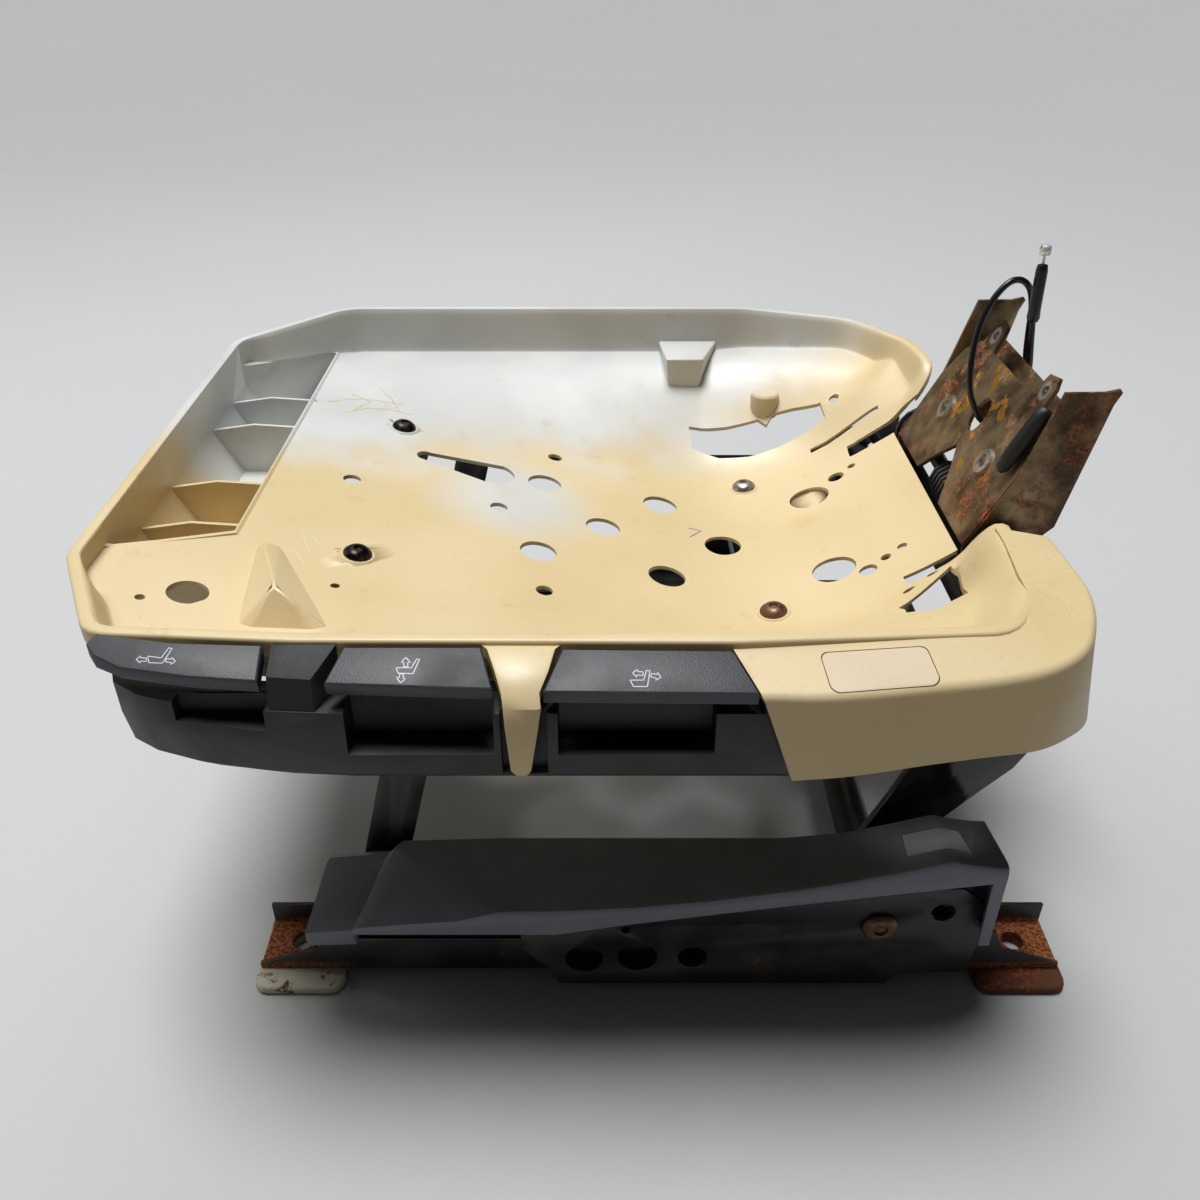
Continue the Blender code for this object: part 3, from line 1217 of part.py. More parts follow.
def backrest_bracket(mat, carrier):
    """Front plate, two wings, two lugs and a rear cross plate, folded and welded as one piece."""
    w = WING_Y + 1
    lug = [(64, 357), (62, 370), (57, 376), (45, 374), (40, 357)]
    front = [(-w, 271), (-30, 271), (-14, 290), (0, 303), (14, 290), (30, 271), (w, 271), (w, 322), (82, 345),
             (66, 357)] + lug + [(-y, z) for y, z in reversed(lug)] + [(-66, 357), (-82, 345), (-w, 322)]
    bracket = make("backrest_bracket", plate_prism(front, 0, BACK_T), mat, carrier, 30)
    for side in (-1, 1):
        wing = [(lean_x(322) + 1, 322), (245, 379.7), (270, 380), (278.5, 382), (280, 380), (276.5, 372),
                (259, 286)]
        wing += arc(RECLINE_X, RECLINE_Z, WING_R, 5, -185, 12)
        wing += [(lean_x(276) + 1, 276)]
        join(bracket, sided(side, wing, "Y", WING_Y, WING_Y + WING_T))
    rear_top = on_plate(0, BACKING_TOP, BACKING_DEPTH)
    rear_low = on_plate(0, BACKING_LOW, BACKING_DEPTH)
    step = Vector((rear_top[0] - rear_low[0], 0, rear_top[2] - rear_low[2])).normalized()
    thick = Vector((step.z, 0, -step.x)) * 2.5
    back = [(rear_low[0], rear_low[2]), (rear_top[0], rear_top[2]),
            (rear_top[0] + thick.x, rear_top[2] + thick.z),
            (rear_low[0] + thick.x, rear_low[2] + thick.z)]
    join(bracket, prism("Y", back, -(WING_Y + 1), WING_Y + 1))
    tools = [turned([(AXLE_R + GAP, -100), (AXLE_R + GAP, 100)], (RECLINE_X, 0, RECLINE_Z), (0, 1, 0), 20)]
    def through(y, z, radius, stretch=1.0):
        ring = [(y + radius * math.cos(a), z + radius * stretch * math.sin(a))
                for a in (math.tau * i / 16 for i in range(16))]
        return plate_prism(ring, -6, 9)
    tools += [through(0, 326, 9.5, 1.28), through(NUT_Y, NUT_Z, 5.0), through(-NUT_Y, NUT_Z, 5.0),
              through(LUG_Y, LUG_HOLE_Z, 3.2), through(-LUG_Y, LUG_HOLE_Z, 3.2)]
    cut(bracket, merge(*tools))
    join(bracket, merge(weld_nut(-1), weld_nut(1)))
    return bracket


def weld_nut(side):
    centre = on_plate(side * NUT_Y, NUT_Z, 1.0)
    size = math.hypot(1.0, BACK_LEAN)
    return ring_tube(9.0, 5.0, centre, (-1 / size, 0, BACK_LEAN / size), 3.4, 16)


def recliner_disc(side, mat, carrier):
    low = WING_Y + WING_T + GAP
    disc = ring_tube(DISC_R, AXLE_R + GAP, (RECLINE_X, side * low, RECLINE_Z), (0, side, 0),
                     RECLINER_PLATE_Y - GAP - low, 24)
    return make(f"recliner_disc_{side_name(side)}", disc, mat, carrier)


def recliner_axle(mat, carrier):
    half = RECLINER_PLATE_Y + RECLINER_PLATE_T + 2
    bush = COIL_R * math.cos(math.pi / 10) - COIL_WIRE_R - GAP
    reach = COIL_TURNS * COIL_PITCH / 2 + 5
    profile = [(AXLE_R, -half), (AXLE_R, -reach), (bush, -reach), (bush, reach), (AXLE_R, reach),
               (AXLE_R, half)]
    return make("recliner_axle", turned(profile, (RECLINE_X, 0, RECLINE_Z), (0, 1, 0), 20), mat, carrier)


def tube_along(points, radius, sides):
    """A round tube whose rings stay square to the path."""
    path = [Vector(p) for p in points]
    rings = []
    normal = None
    for i, p in enumerate(path):
        along = (path[min(i + 1, len(path) - 1)] - path[max(i - 1, 0)]).normalized()
        if normal is None:
            normal = along.orthogonal().normalized()
        normal = (normal - along * normal.dot(along)).normalized()
        third = along.cross(normal)
        rings.append([p + (normal * math.cos(a) + third * math.sin(a)) * radius
                      for a in (math.tau * k / sides for k in range(sides))])
    return loft(rings)


def recliner_spring(mat, carrier):
    """A torsion coil round the recliner axle with one end up behind the plate."""
    points = []
    steps = 10
    start = -COIL_TURNS * COIL_PITCH / 2
    for i in range(int(round(COIL_TURNS * steps)) + 1):
        a = math.tau * i / steps
        points.append((RECLINE_X + COIL_R * math.cos(a), start + COIL_PITCH * i / steps,
                       RECLINE_Z + COIL_R * math.sin(a)))
    end = points[-1]
    points.append((end[0], end[1] + 1.0, end[2] + 14))
    points.append((end[0] + 1, end[1] + 1.5, end[2] + 30))
    return make("recliner_spring", tube_along(points, COIL_WIRE_R, 5), mat, carrier)


def bracket_buffer(mat, carrier):
    """A rubber buffer along the plate's near edge."""
    depth = -BUFFER_R - 0.4
    low = Vector(on_plate(-BUFFER_Y, BUFFER_LOW, depth))
    high = Vector(on_plate(-BUFFER_Y, BUFFER_TOP, depth))
    axis = (high - low).normalized()
    length = (high - low).length
    profile = [(2.2, 0), (4.4, 3), (BUFFER_R - 0.6, 14), (BUFFER_R, length - 8), (BUFFER_R - 1, length - 2.5),
               (3.0, length)]
    return make("bracket_buffer", turned(profile, low, axis, 16), mat, carrier)


CABLE_ROUTE = ((236, 5.5, 317), (229.5, 6.5, 324), (223, 10, 339), (222, 17, 358), (226, 26, 380),
               (234, 32, 398),
               (244, 36, 409), (254, 40, 410), (264, 46, 402), (271, 53, 386), (275, 59, 366), (277, 60, 350),
               (277, 53, 338), (275, 43, 338), (272, 37, 349), (269, 36, 366), (267, 36.5, 381))
CABLE_AIM = (266, 38.5, 430)


def smooth_path(route, count):
    """Points on a smooth curve through the route's own points."""
    pts = [Vector(p) for p in route]
    pts = [pts[0] * 2 - pts[1]] + pts + [pts[-1] * 2 - pts[-2]]
    spans = len(pts) - 3
    result = []
    for k in range(count):
        s = spans * k / (count - 1)
        i = min(int(s), spans - 1)
        t = s - i
        a, b, c, d = pts[i:i + 4]
        result.append(0.5 * ((2 * b) + (c - a) * t + (2 * a - 5 * b + 4 * c - d) * t * t
                             + (3 * b - a - 3 * c + d) * t ** 3))
    return result


def backrest_cable(mat, carrier):
    return make("backrest_cable", tube_along(smooth_path(CABLE_ROUTE, 32), CABLE_R, 8), mat, carrier)


def cable_end(mats, carrier):
    """The adjuster sleeve and the bright nipple on the cable's upper end."""
    base = Vector(CABLE_ROUTE[-1])
    axis = (Vector(CABLE_AIM) - base).normalized()
    start = base + axis * GAP
    sleeve = make("cable_sleeve", turned([(3.4, 0), (4.6, 3), (SLEEVE_R, 10), (SLEEVE_R, 36), (3.4, 40)],
                                         start,
                                         axis, 14), mats[0], carrier)
    tip = start + axis * (40 + GAP)
    nipple = make("cable_nipple", turned([(0.9, 0), (0.9, 6), (3.6, 6.5), (3.9, 8), (3.9, 11.5), (3.0, 13)],
                                         tip,
                                         axis, 12), mats[1], carrier)
    return sleeve, nipple


def build():
    clear_scene()
    beige = material("painted pan plastic", (0.72, 0.60, 0.42), 0.42)
    charcoal = material("grained charcoal plastic", (0.035, 0.037, 0.042), 0.55)
    cover_grey = material("dusty rail cover plastic", (0.06, 0.063, 0.07), 0.6)
    black_steel = material("black painted steel", (0.012, 0.012, 0.013), 0.35, 0.3)
    zinc = material("zinc plated steel", (0.55, 0.54, 0.52), 0.4, 1.0)
    rusty = material("rusty bare steel", (0.22, 0.11, 0.06), 0.75, 0.4)
    cream = material("cream painted foot", (0.6, 0.55, 0.45), 0.6)
    orange_rust = material("orange rusted foot", (0.4, 0.17, 0.06), 0.8)
    white_plastic = material("white acetal glide", (0.8, 0.8, 0.76), 0.5)
    rubber = material("black rubber", (0.02, 0.02, 0.02), 0.6)

    seat_frame = body("seat_frame", None, 0, 0, 0)
    rails = body("lower_rails", seat_frame, 0, 0, 0)
    slide = body("seat_slide", seat_frame, 0, 0, 0)
    lift = body("rear_lift", slide, REAR_PIVOT_X, 0, PIVOT_Z)
    front = body("front_lift", slide, FRONT_PIVOT_X, 0, PIVOT_Z)
    pan = body("seat_body", lift, REAR_PIVOT_X + LINK_DX, 0, PIVOT_Z + LINK_DZ)
    back = body("backrest_stub", pan, RECLINE_X, 0, RECLINE_Z)
    pawl = body("height_pawl_body", pan, PAWL_X, -QUADRANT_Y, PAWL_Z)

    for side in (-1, 1):
        label = side_name(side)
        foot_plate(f"front_foot_{label}", -FOOT_X, side, cream, rails)
        foot_plate(f"rear_foot_{label}", FOOT_X, side, orange_rust, rails)
        lower_rail(side, black_steel, rails)
        lock_rack(side, zinc, rails)
        upper_rail(side, black_steel, slide)
        glide_cage(side, white_plastic, slide)
        side_bracket(side, black_steel, slide)
        outer = RAIL_Y + BRACKET_OUT + BRACKET_T
        pivot_bolt(f"rear_pivot_bolt_{label}", side, REAR_PIVOT_X, outer, zinc, slide)
        pivot_bolt(f"front_pivot_bolt_{label}", side, FRONT_PIVOT_X, INNER_WALL_Y + INNER_WALL_T, zinc, slide)
        latch = body(f"latch_{label}", slide, LATCH_PIVOT_X, side * RAIL_Y, LATCH_PIVOT_Z)
        latch_pawl(side, zinc, latch)
        rear_link(side, black_steel, lift)
        front_link(side, black_steel, front)
        frame_side(side, black_steel, pan)
        recliner_plate(side, black_steel, pan)
        recliner_disc(side, black_steel, back)
        front_upper_pin(side, zinc, pan)
        pan_bolt(f"front_pan_bolt_{label}", PAN_BOLT_FRONT[0], side * PAN_BOLT_FRONT[1], zinc, pan)
        pan_bolt(f"rear_pan_bolt_{label}", PAN_BOLT_REAR[0], side * PAN_BOLT_REAR[1], zinc, pan)
    rail_cover(cover_grey, slide)
    cover_window(cover_grey, slide)
    torque_tube("rear_torque_tube", REAR_PIVOT_X, black_steel, lift)
    torque_tube("front_torque_tube", FRONT_PIVOT_X, black_steel, front)
    shaft_half = FRAME_SIDE_Y + FRAME_SIDE_T + 3
    make("rear_upper_shaft", turned([(SHAFT_R, -shaft_half), (SHAFT_R, shaft_half)],
                                    (REAR_PIVOT_X + LINK_DX, 0, PIVOT_Z + LINK_DZ), (0, 1, 0), 20), zinc,
         lift)
    height_quadrant(zinc, lift)
    height_pawl(zinc, pawl)
    seat_pan(beige, pan)
    trim_cap(beige, pan)
    front_member(black_steel, pan)
    middle_member(black_steel, pan)
    rear_member(black_steel, pan)
    paddle_carrier(charcoal, pan)
    for name, plan in PADDLE_PLANS.items():
        middle = sum(p[0] for p in plan) / len(plan)
        hinge = body(f"{name}_body", pan, middle, BARREL_Y, BARREL_Z)
        paddle(name, charcoal, hinge)
    backrest_bracket(rusty, back)
    recliner_axle(black_steel, back)
    recliner_spring(black_steel, back)
    bracket_buffer(rubber, back)
    backrest_cable(rubber, back)
    cable_end((rubber, zinc), back)
    seat_frame.location = Vector((FRAME_X, FRAME_Y, 0)) * MM


build()
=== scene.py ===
"""Looks of a worn vehicle seat base: sprayed pan, charcoal paddles, grey rail cover, rusty bracket."""
import json
import math

import bmesh
import bpy
from mathutils import Matrix, Vector
from mathutils.bvhtree import BVHTree

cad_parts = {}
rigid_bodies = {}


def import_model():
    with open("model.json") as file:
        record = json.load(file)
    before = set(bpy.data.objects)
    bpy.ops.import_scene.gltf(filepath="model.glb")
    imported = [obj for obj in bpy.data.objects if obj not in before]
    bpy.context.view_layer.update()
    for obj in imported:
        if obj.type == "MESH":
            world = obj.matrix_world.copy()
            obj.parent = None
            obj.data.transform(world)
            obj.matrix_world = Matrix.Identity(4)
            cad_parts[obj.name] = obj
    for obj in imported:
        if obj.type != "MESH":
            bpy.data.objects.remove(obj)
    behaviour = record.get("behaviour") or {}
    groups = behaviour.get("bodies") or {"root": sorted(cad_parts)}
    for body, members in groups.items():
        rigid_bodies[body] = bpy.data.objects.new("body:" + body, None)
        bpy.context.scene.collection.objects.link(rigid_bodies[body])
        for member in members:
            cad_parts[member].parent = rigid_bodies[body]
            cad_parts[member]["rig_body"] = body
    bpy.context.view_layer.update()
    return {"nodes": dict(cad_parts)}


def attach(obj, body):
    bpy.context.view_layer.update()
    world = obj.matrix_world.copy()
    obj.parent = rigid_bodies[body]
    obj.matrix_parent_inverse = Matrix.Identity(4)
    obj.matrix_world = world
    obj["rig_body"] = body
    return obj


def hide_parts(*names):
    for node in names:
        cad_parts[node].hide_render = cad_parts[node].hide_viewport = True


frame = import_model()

MM = 0.001
ZERO = Vector((36.0, 20.0, 0.0))       # the drawing's zero in the frame, in millimetres


def at(x, y, z):
    """A point of the drawing, in millimetres, as a place in the frame."""
    return (Vector((x, y, z)) + ZERO) * MM


def deselect():
    if bpy.context.object is not None and bpy.context.object.mode != "OBJECT":
        bpy.ops.object.mode_set(mode="OBJECT")
    bpy.ops.object.select_all(action="DESELECT")


def only(piece):
    deselect()
    piece.select_set(True)
    bpy.context.view_layer.objects.active = piece


# Camera

FRAME_PX = 1200                        # the photo's frame, which is square
LENS_MM = 32.57
SENSOR_MM = 36.0
LENS_PIXELS = FRAME_PX * LENS_MM / SENSOR_MM
CAMERA_PLACE = (-41.4, -721.0, 636.6)
CAMERA_TILT = 57.0                     # degrees up from straight down

camera_data = bpy.data.cameras.new("camera")
camera_data.lens = LENS_MM
camera_data.sensor_width = SENSOR_MM
camera_data.clip_start = 0.01
camera = bpy.data.objects.new("camera", camera_data)
bpy.context.scene.collection.objects.link(camera)
camera.location = at(*CAMERA_PLACE)
camera.rotation_euler = (math.radians(CAMERA_TILT), 0.0, 0.0)
bpy.context.scene.camera = camera


# Materials

SPOT_WOBBLE = 0.010                    # metres by which a cloud mask draws in the edge of a round spot


def linear(code, alpha=1.0):
    """An sRGB hex colour as the linear colour that a shader needs."""
    parts = [int(code[i:i + 2], 16) / 255 for i in (1, 3, 5)]
    parts = [c / 12.92 if c <= 0.04045 else ((c + 0.055) / 1.055) ** 2.4 for c in parts]
    return (*parts, alpha)


def node(tree, kind, inputs=None, **settings):
    """Adds a shader node with its settings, its values and its links."""
    made = tree.nodes.new("ShaderNode" + kind)
    for key, value in settings.items():
        setattr(made, key, value)
    for key, value in (inputs or {}).items():
        if isinstance(value, bpy.types.NodeSocket):
            tree.links.new(value, made.inputs[key])
        else:
            made.inputs[key].default_value = value
    return made


def blank(name):
    """A material with its shader and the object's own coordinates, in metres."""
    mat = bpy.data.materials.new(name)
    mat.use_nodes = True
    tree = mat.node_tree
    place = node(tree, "TexCoord").outputs["Object"]
    return mat, tree, tree.nodes["Principled BSDF"], place


def patches(tree, place, size_mm, low, high, detail=4.0, rough=0.6, seed=0.0):
    """A mask of irregular patches about size_mm across: 0 below low and 1 above high."""
    moved = node(tree, "Mapping", {"Vector": place, "Location": (seed, seed * 0.7, -seed)}).outputs[0]
    noise = node(tree, "TexNoise", {"Vector": moved, "Scale": 1000 / size_mm, "Detail": detail,
                                    "Roughness": rough}).outputs[0]
    return node(tree, "MapRange", {0: noise, 1: low, 2: high}, interpolation_type="SMOOTHSTEP").outputs[0]


def blend(tree, mask, under, over):
    """Lays one colour over another by a mask."""
    mix = node(tree, "Mix", data_type="RGBA")
    for socket, value in ((0, mask), (6, under), (7, over)):
        if isinstance(value, bpy.types.NodeSocket):
            tree.links.new(value, mix.inputs[socket])
        else:
            mix.inputs[socket].default_value = value
    return mix.outputs[2]


def times(tree, a, b, operation="MULTIPLY"):
    """Two masks or numbers multiplied, or the larger of the two."""
    return node(tree, "Math", {0: a, 1: b}, operation=operation).outputs[0]


def near_point(tree, place, point_mm, inner_mm, outer_mm, wobble=None):
    """1 within inner_mm of a point of the drawing, falling to 0 at outer_mm."""
    gap = node(tree, "VectorMath", {0: place, 1: at(*point_mm)}, operation="DISTANCE").outputs["Value"]
    if wobble is not None:
        gap = node(tree, "Math", {0: wobble, 1: SPOT_WOBBLE, 2: gap}, operation="MULTIPLY_ADD").outputs[0]
    return node(tree, "MapRange", {0: gap, 1: inner_mm * MM, 2: outer_mm * MM, 3: 1.0, 4: 0.0},
                interpolation_type="SMOOTHSTEP").outputs[0]


def finish_shader(tree, shader, colour, roughness, height, depth_mm):
    """Links colour, roughness and a bump of real depth to the shader."""
    tree.links.new(colour, shader.inputs["Base Color"])
    if isinstance(roughness, bpy.types.NodeSocket):
        tree.links.new(roughness, shader.inputs["Roughness"])
    else:
        shader.inputs["Roughness"].default_value = roughness
    bump = node(tree, "Bump", {"Height": height, "Distance": depth_mm * MM, "Strength": 1.0})
    tree.links.new(bump.outputs[0], shader.inputs["Normal"])


def sprayed_pan():
    """Beige lacquer sprayed on moulded polypropylene: satin, stains, scuffs, painted highlight and shade."""
    mat, tree, shader, place = blank("sprayed beige lacquer")
    split = node(tree, "SeparateXYZ", {0: place}).outputs
    cloud = patches(tree, place, 90, 0.35, 0.65, 3.0, 0.5, 1.3)
    # painted highlight: pale grey glare on the half beyond a slanted line, soft edged, with one blot before
    # it
    lean = node(tree, "Math", {0: split[0], 1: -0.45, 2: split[1]}, operation="MULTIPLY_ADD").outputs[0]
    lean = node(tree, "Math", {0: cloud, 1: 0.05, 2: lean}, operation="MULTIPLY_ADD").outputs[0]
    pale = node(tree, "MapRange", {0: lean, 1: 0.125, 2: 0.235}, interpolation_type="SMOOTHSTEP").outputs[0]
    glare_blot = times(tree, near_point(tree, place, (-112, 22, 250), 25, 88, cloud), 0.85)
    pale = times(tree, pale, glare_blot, "MAXIMUM")
    tint = patches(tree, place, 160, 0.3, 0.7, 2.0, 0.5, 4.0)
    beige = blend(tree, tint, linear("#D3BE90"), linear("#DCC89E"))
    grey = blend(tree, cloud, linear("#C6C8C6"), linear("#D2D3D0"))
    colour = blend(tree, pale, beige, grey)
    # painted shade: the upright faces of the near side are darkened to a deeper golden brown
    facing = node(tree, "SeparateXYZ", {0: node(tree, "NewGeometry").outputs["Normal"]}).outputs[2]
    shaded_upright = node(tree, "MapRange", {0: facing, 1: 0.55, 2: 0.15}).outputs[0]
    shaded_near_side = node(tree, "MapRange", {0: split[1], 1: -0.10, 2: -0.16}).outputs[0]
    colour = blend(tree, times(tree, times(tree, shaded_upright, shaded_near_side), 0.6), colour, linear("#A98A50"))
    # yellow-brown stains and rubbed dirt
    spots = patches(tree, place, 34, 0.60, 0.72, 5.0, 0.65, 7.0)
    colour = blend(tree, times(tree, spots, 0.22), colour, linear("#A9854F"))
    grain = patches(tree, place, 2.6, 0.52, 0.70, 3.0, 0.6, 2.0)
    film = patches(tree, place, 60, 0.42, 0.75, 5.0, 0.6, 11.0)
    colour = blend(tree, times(tree, times(tree, grain, film), 0.16), colour, linear("#7C6545"))
    # dirt where the pan meets the near rear corner, and rubbed grime on the rim
    corner = near_point(tree, place, (170, -158, 285), 8, 46, cloud)
    speck = patches(tree, place, 6.0, 0.45, 0.66, 5.0, 0.7, 3.0)
    colour = blend(tree, times(tree, corner, times(tree, speck, 0.22)), colour, linear("#7A5F3A"))
    colour = blend(tree, times(tree, corner, 0.22), colour, linear("#A98A5C"))
    stain = near_point(tree, place, (118, 22, 234), 4, 30, cloud)
    colour = blend(tree, times(tree, stain, 0.35), colour, linear("#C99A2E"))
    # fine white scratches: stretched noise across the run of the rim
    stretched = node(tree, "Mapping", {"Vector": place, "Rotation": (0.0, 0.0, 0.4),
                                       "Scale": (26.0, 900.0, 200.0)}).outputs[0]
    lines = node(tree, "TexNoise", {"Vector": stretched, "Scale": 1.0, "Detail": 2.0}).outputs[0]
    lines = node(tree, "MapRange", {0: lines, 1: 0.70, 2: 0.76}, interpolation_type="SMOOTHSTEP").outputs[0]
    colour = blend(tree, times(tree, lines, 0.35), colour, linear("#E9E2D2"))
    # the orange peel that a spray gun leaves, about 1.2 mm across
    peel = node(tree, "TexNoise", {"Vector": place, "Scale": 820.0, "Detail": 2.0}).outputs[0]
    rough = node(tree, "MapRange", {0: film, 1: 0.0, 2: 1.0, 3: 0.36, 4: 0.52}).outputs[0]
    finish_shader(tree, shader, colour, rough, peel, 0.05)
    shader.inputs["IOR"].default_value = 1.49
    return mat


def grained(name, base, dust, amount, grain_mm, roughness=0.5, depth=0.09, seed=0.0):
    """Moulded ABS or polypropylene: a grain that breaks the highlight and holds dust in its pits.

    The grain is drawn at about 1 mm, coarser than the real one, so that it shows at all.
    """
    mat, tree, shader, place = blank(name)
    cells = node(tree, "TexVoronoi", {"Vector": place, "Scale": 1000 / grain_mm},
                 feature="SMOOTH_F1").outputs["Distance"]
    fine = node(tree, "TexNoise", {"Vector": place, "Scale": 2500 / grain_mm, "Detail": 2.0}).outputs[0]
    film = patches(tree, place, 70, 0.40, 0.72, 5.0, 0.6, seed)
    specks = patches(tree, place, 1.6, 0.66, 0.72, 2.0, 0.5, seed + 3.0)
    colour = blend(tree, times(tree, film, amount), linear(base), linear(dust))
    colour = blend(tree, times(tree, specks, min(1.0, amount * 2.2)), colour, linear(dust))
    colour = blend(tree, times(tree, cells, 0.25), colour, linear(base))
    height = node(tree, "Math", {0: cells, 1: 1.6, 2: fine}, operation="MULTIPLY_ADD").outputs[0]
    rough = node(tree, "MapRange", {0: film, 1: 0.0, 2: 1.0, 3: roughness, 4: min(0.95, roughness + 0.22)})
    finish_shader(tree, shader, colour, rough.outputs[0], height, depth)
    return mat


def painted_steel(name, paint, rust, rust_amount, roughness, dust=0.25, seed=0.0, rust_dark="#3A1E12",
                  bare_ends=False):
    """Paint over pressed steel: an even film, dulled by settled dust, with rust that breaks through it."""
    mat, tree, shader, place = blank(name)
    film = patches(tree, place, 45, 0.42, 0.75, 5.0, 0.6, seed)
    breaks = patches(tree, place, 26, 0.66 - rust_amount, 0.72 - rust_amount * 0.8, 8.0, 0.72, seed + 5.0)
    speck = patches(tree, place, 2.4, 0.40, 0.60, 4.0, 0.6, seed + 8.0)
    oxide = blend(tree, speck, linear(rust_dark), linear(rust))
    colour = blend(tree, times(tree, film, dust), linear(paint), linear("#6E675C"))
    if bare_ends:
        # the rail's open ends have lost their paint: rust on the low floor, and a dab of yellow at the rear
        split = node(tree, "SeparateXYZ", {0: place}).outputs
        reach = node(tree, "Math", {0: split[0], 1: ZERO.x * MM}, operation="SUBTRACT").outputs[0]
        reach = node(tree, "Math", {0: reach}, operation="ABSOLUTE").outputs[0]
        ends = node(tree, "MapRange", {0: reach, 1: 0.205, 2: 0.232}).outputs[0]
        low = node(tree, "MapRange", {0: split[2], 1: 0.0135, 2: 0.0115}).outputs[0]
        bare = times(tree, times(tree, ends, low), 0.94)
        breaks = times(tree, breaks, bare, "MAXIMUM")
        yellow = near_point(tree, place, (258, -198, 3), 5, 13, film)
        oxide = blend(tree, times(tree, yellow, 0.8), oxide, linear("#D39A22"))
    colour = blend(tree, breaks, colour, oxide)
    rough = node(tree, "MapRange", {0: breaks, 1: 0.0, 2: 1.0, 3: roughness, 4: 0.85}).outputs[0]
    rough = node(tree, "Math", {0: film, 1: 0.18, 2: rough}, operation="MULTIPLY_ADD").outputs[0]
    pits = times(tree, speck, breaks)
    fine = node(tree, "TexNoise", {"Vector": place, "Scale": 700.0, "Detail": 3.0}).outputs[0]
    height = node(tree, "Math", {0: pits, 1: 2.5, 2: fine}, operation="MULTIPLY_ADD").outputs[0]
    finish_shader(tree, shader, colour, rough, height, 0.05)
    return mat


def bare_metal(name, tone, dull, roughness, seed=0.0):
    """Plated or oiled steel: metallic, with patches that have gone dull."""
    mat, tree, shader, place = blank(name)
    film = patches(tree, place, 12, 0.40, 0.66, 6.0, 0.65, seed)
    colour = blend(tree, film, linear(tone), linear(dull))
    metal = node(tree, "MapRange", {0: film, 1: 0.0, 2: 1.0, 3: 1.0, 4: 0.25}).outputs[0]
    tree.links.new(metal, shader.inputs["Metallic"])
    rough = node(tree, "MapRange", {0: film, 1: 0.0, 2: 1.0, 3: roughness, 4: 0.8}).outputs[0]
    fine = node(tree, "TexNoise", {"Vector": place, "Scale": 1500.0, "Detail": 3.0}).outputs[0]
    finish_shader(tree, shader, colour, rough, fine, 0.03)
    return mat


def rusty_bracket():
    """Bare pressed steel: brown oxide, orange bloom, bare grey areas and dabs of yellow paint."""
    mat, tree, shader, place = blank("rusted pressed steel")
    broad = patches(tree, place, 55, 0.38, 0.62, 6.0, 0.62, 2.0)
    bloom = patches(tree, place, 24, 0.50, 0.68, 8.0, 0.7, 6.0)
    speck = patches(tree, place, 2.2, 0.42, 0.60, 5.0, 0.65, 9.0)
    base = blend(tree, broad, linear("#44301F"), linear("#9C8565"))
    oxide = blend(tree, speck, linear("#562A12"), linear("#B4642A"))
    colour = blend(tree, bloom, base, oxide)
    dab = times(tree, patches(tree, place, 17, 0.60, 0.64, 4.0, 0.6, 15.0),
                near_point(tree, place, (225, 10, 318), 30, 85))
    colour = blend(tree, times(tree, dab, 0.8), colour, linear("#C9902B"))
    # the weld nuts and the lugs' holes are rubbed bright
    bright = None
    for spot, inner, outer in (((220.9, 47.5, 312.4), 8.0, 10.5), ((220.9, -47.5, 312.4), 8.0, 10.5),
                               ((248.9, 52.6, 365.5), 4.0, 8.0), ((248.9, -52.6, 365.5), 4.0, 8.0)):
        spot_mask = near_point(tree, place, spot, inner, outer)
        bright = spot_mask if bright is None else times(tree, bright, spot_mask, "MAXIMUM")
    colour = blend(tree, times(tree, bright, 0.85), colour, linear("#B9B2A6"))
    metal = node(tree, "MapRange", {0: bloom, 1: 0.0, 2: 1.0, 3: 0.75, 4: 0.0}).outputs[0]
    metal = times(tree, metal, bright, "MAXIMUM")
    tree.links.new(metal, shader.inputs["Metallic"])
    rough = node(tree, "MapRange", {0: bloom, 1: 0.0, 2: 1.0, 3: 0.42, 4: 0.88}).outputs[0]
    fine = node(tree, "TexNoise", {"Vector": place, "Scale": 900.0, "Detail": 5.0}).outputs[0]
    pits = times(tree, speck, bloom)
    height = node(tree, "Math", {0: pits, 1: 2.0, 2: fine}, operation="MULTIPLY_ADD").outputs[0]
    finish_shader(tree, shader, colour, rough, height, 0.08)
    return mat


def smooth_coat(name, tone, roughness, speckle_mm=1.0):
    """A plain moulded or extruded skin, with the faint unevenness it has close up."""
    mat, tree, shader, place = blank(name)
    tint = patches(tree, place, 14, 0.35, 0.7, 4.0, 0.6, 1.0)
    dark = [c * 0.75 for c in linear(tone)[:3]]
    colour = blend(tree, tint, linear(tone), (*dark, 1.0))
    fine = node(tree, "TexNoise", {"Vector": place, "Scale": 1000 / speckle_mm, "Detail": 3.0}).outputs[0]
    finish_shader(tree, shader, colour, roughness, fine, 0.04)
    return mat


# lacquer and moulded plastics, satin
LACQUER = sprayed_pan()
CAP_LACQUER = grained("pinker beige cap lacquer", "#D6C4A6", "#C4AE88", 0.35, 1.4, 0.40, 0.015, 5.0)
CHARCOAL = grained("charcoal grained ABS", "#33353A", "#6C6A66", 0.10, 0.9, 0.46, 0.06, 2.0)
# painted shade: the paddle carrier's ABS is made darker than the paddles' for the shade under their lips
CARRIER_SHADED = grained("charcoal ABS darkened as painted shade", "#0F1012", "#4A4A4A", 0.06, 0.9, 0.42, 0.05, 6.0)
# painted light: the rail cover's dark grey is made lighter to stand in for light from the front
COVER_LIGHTENED = grained("grey grained polypropylene lightened as painted light", "#6C6E75", "#A3A2A0", 0.16, 1.1, 0.42, 0.07, 9.0)
INSERT = grained("lighter grey cover insert", "#A5A6A8", "#B3AFA8", 0.20, 1.1, 0.50, 0.06, 3.0)
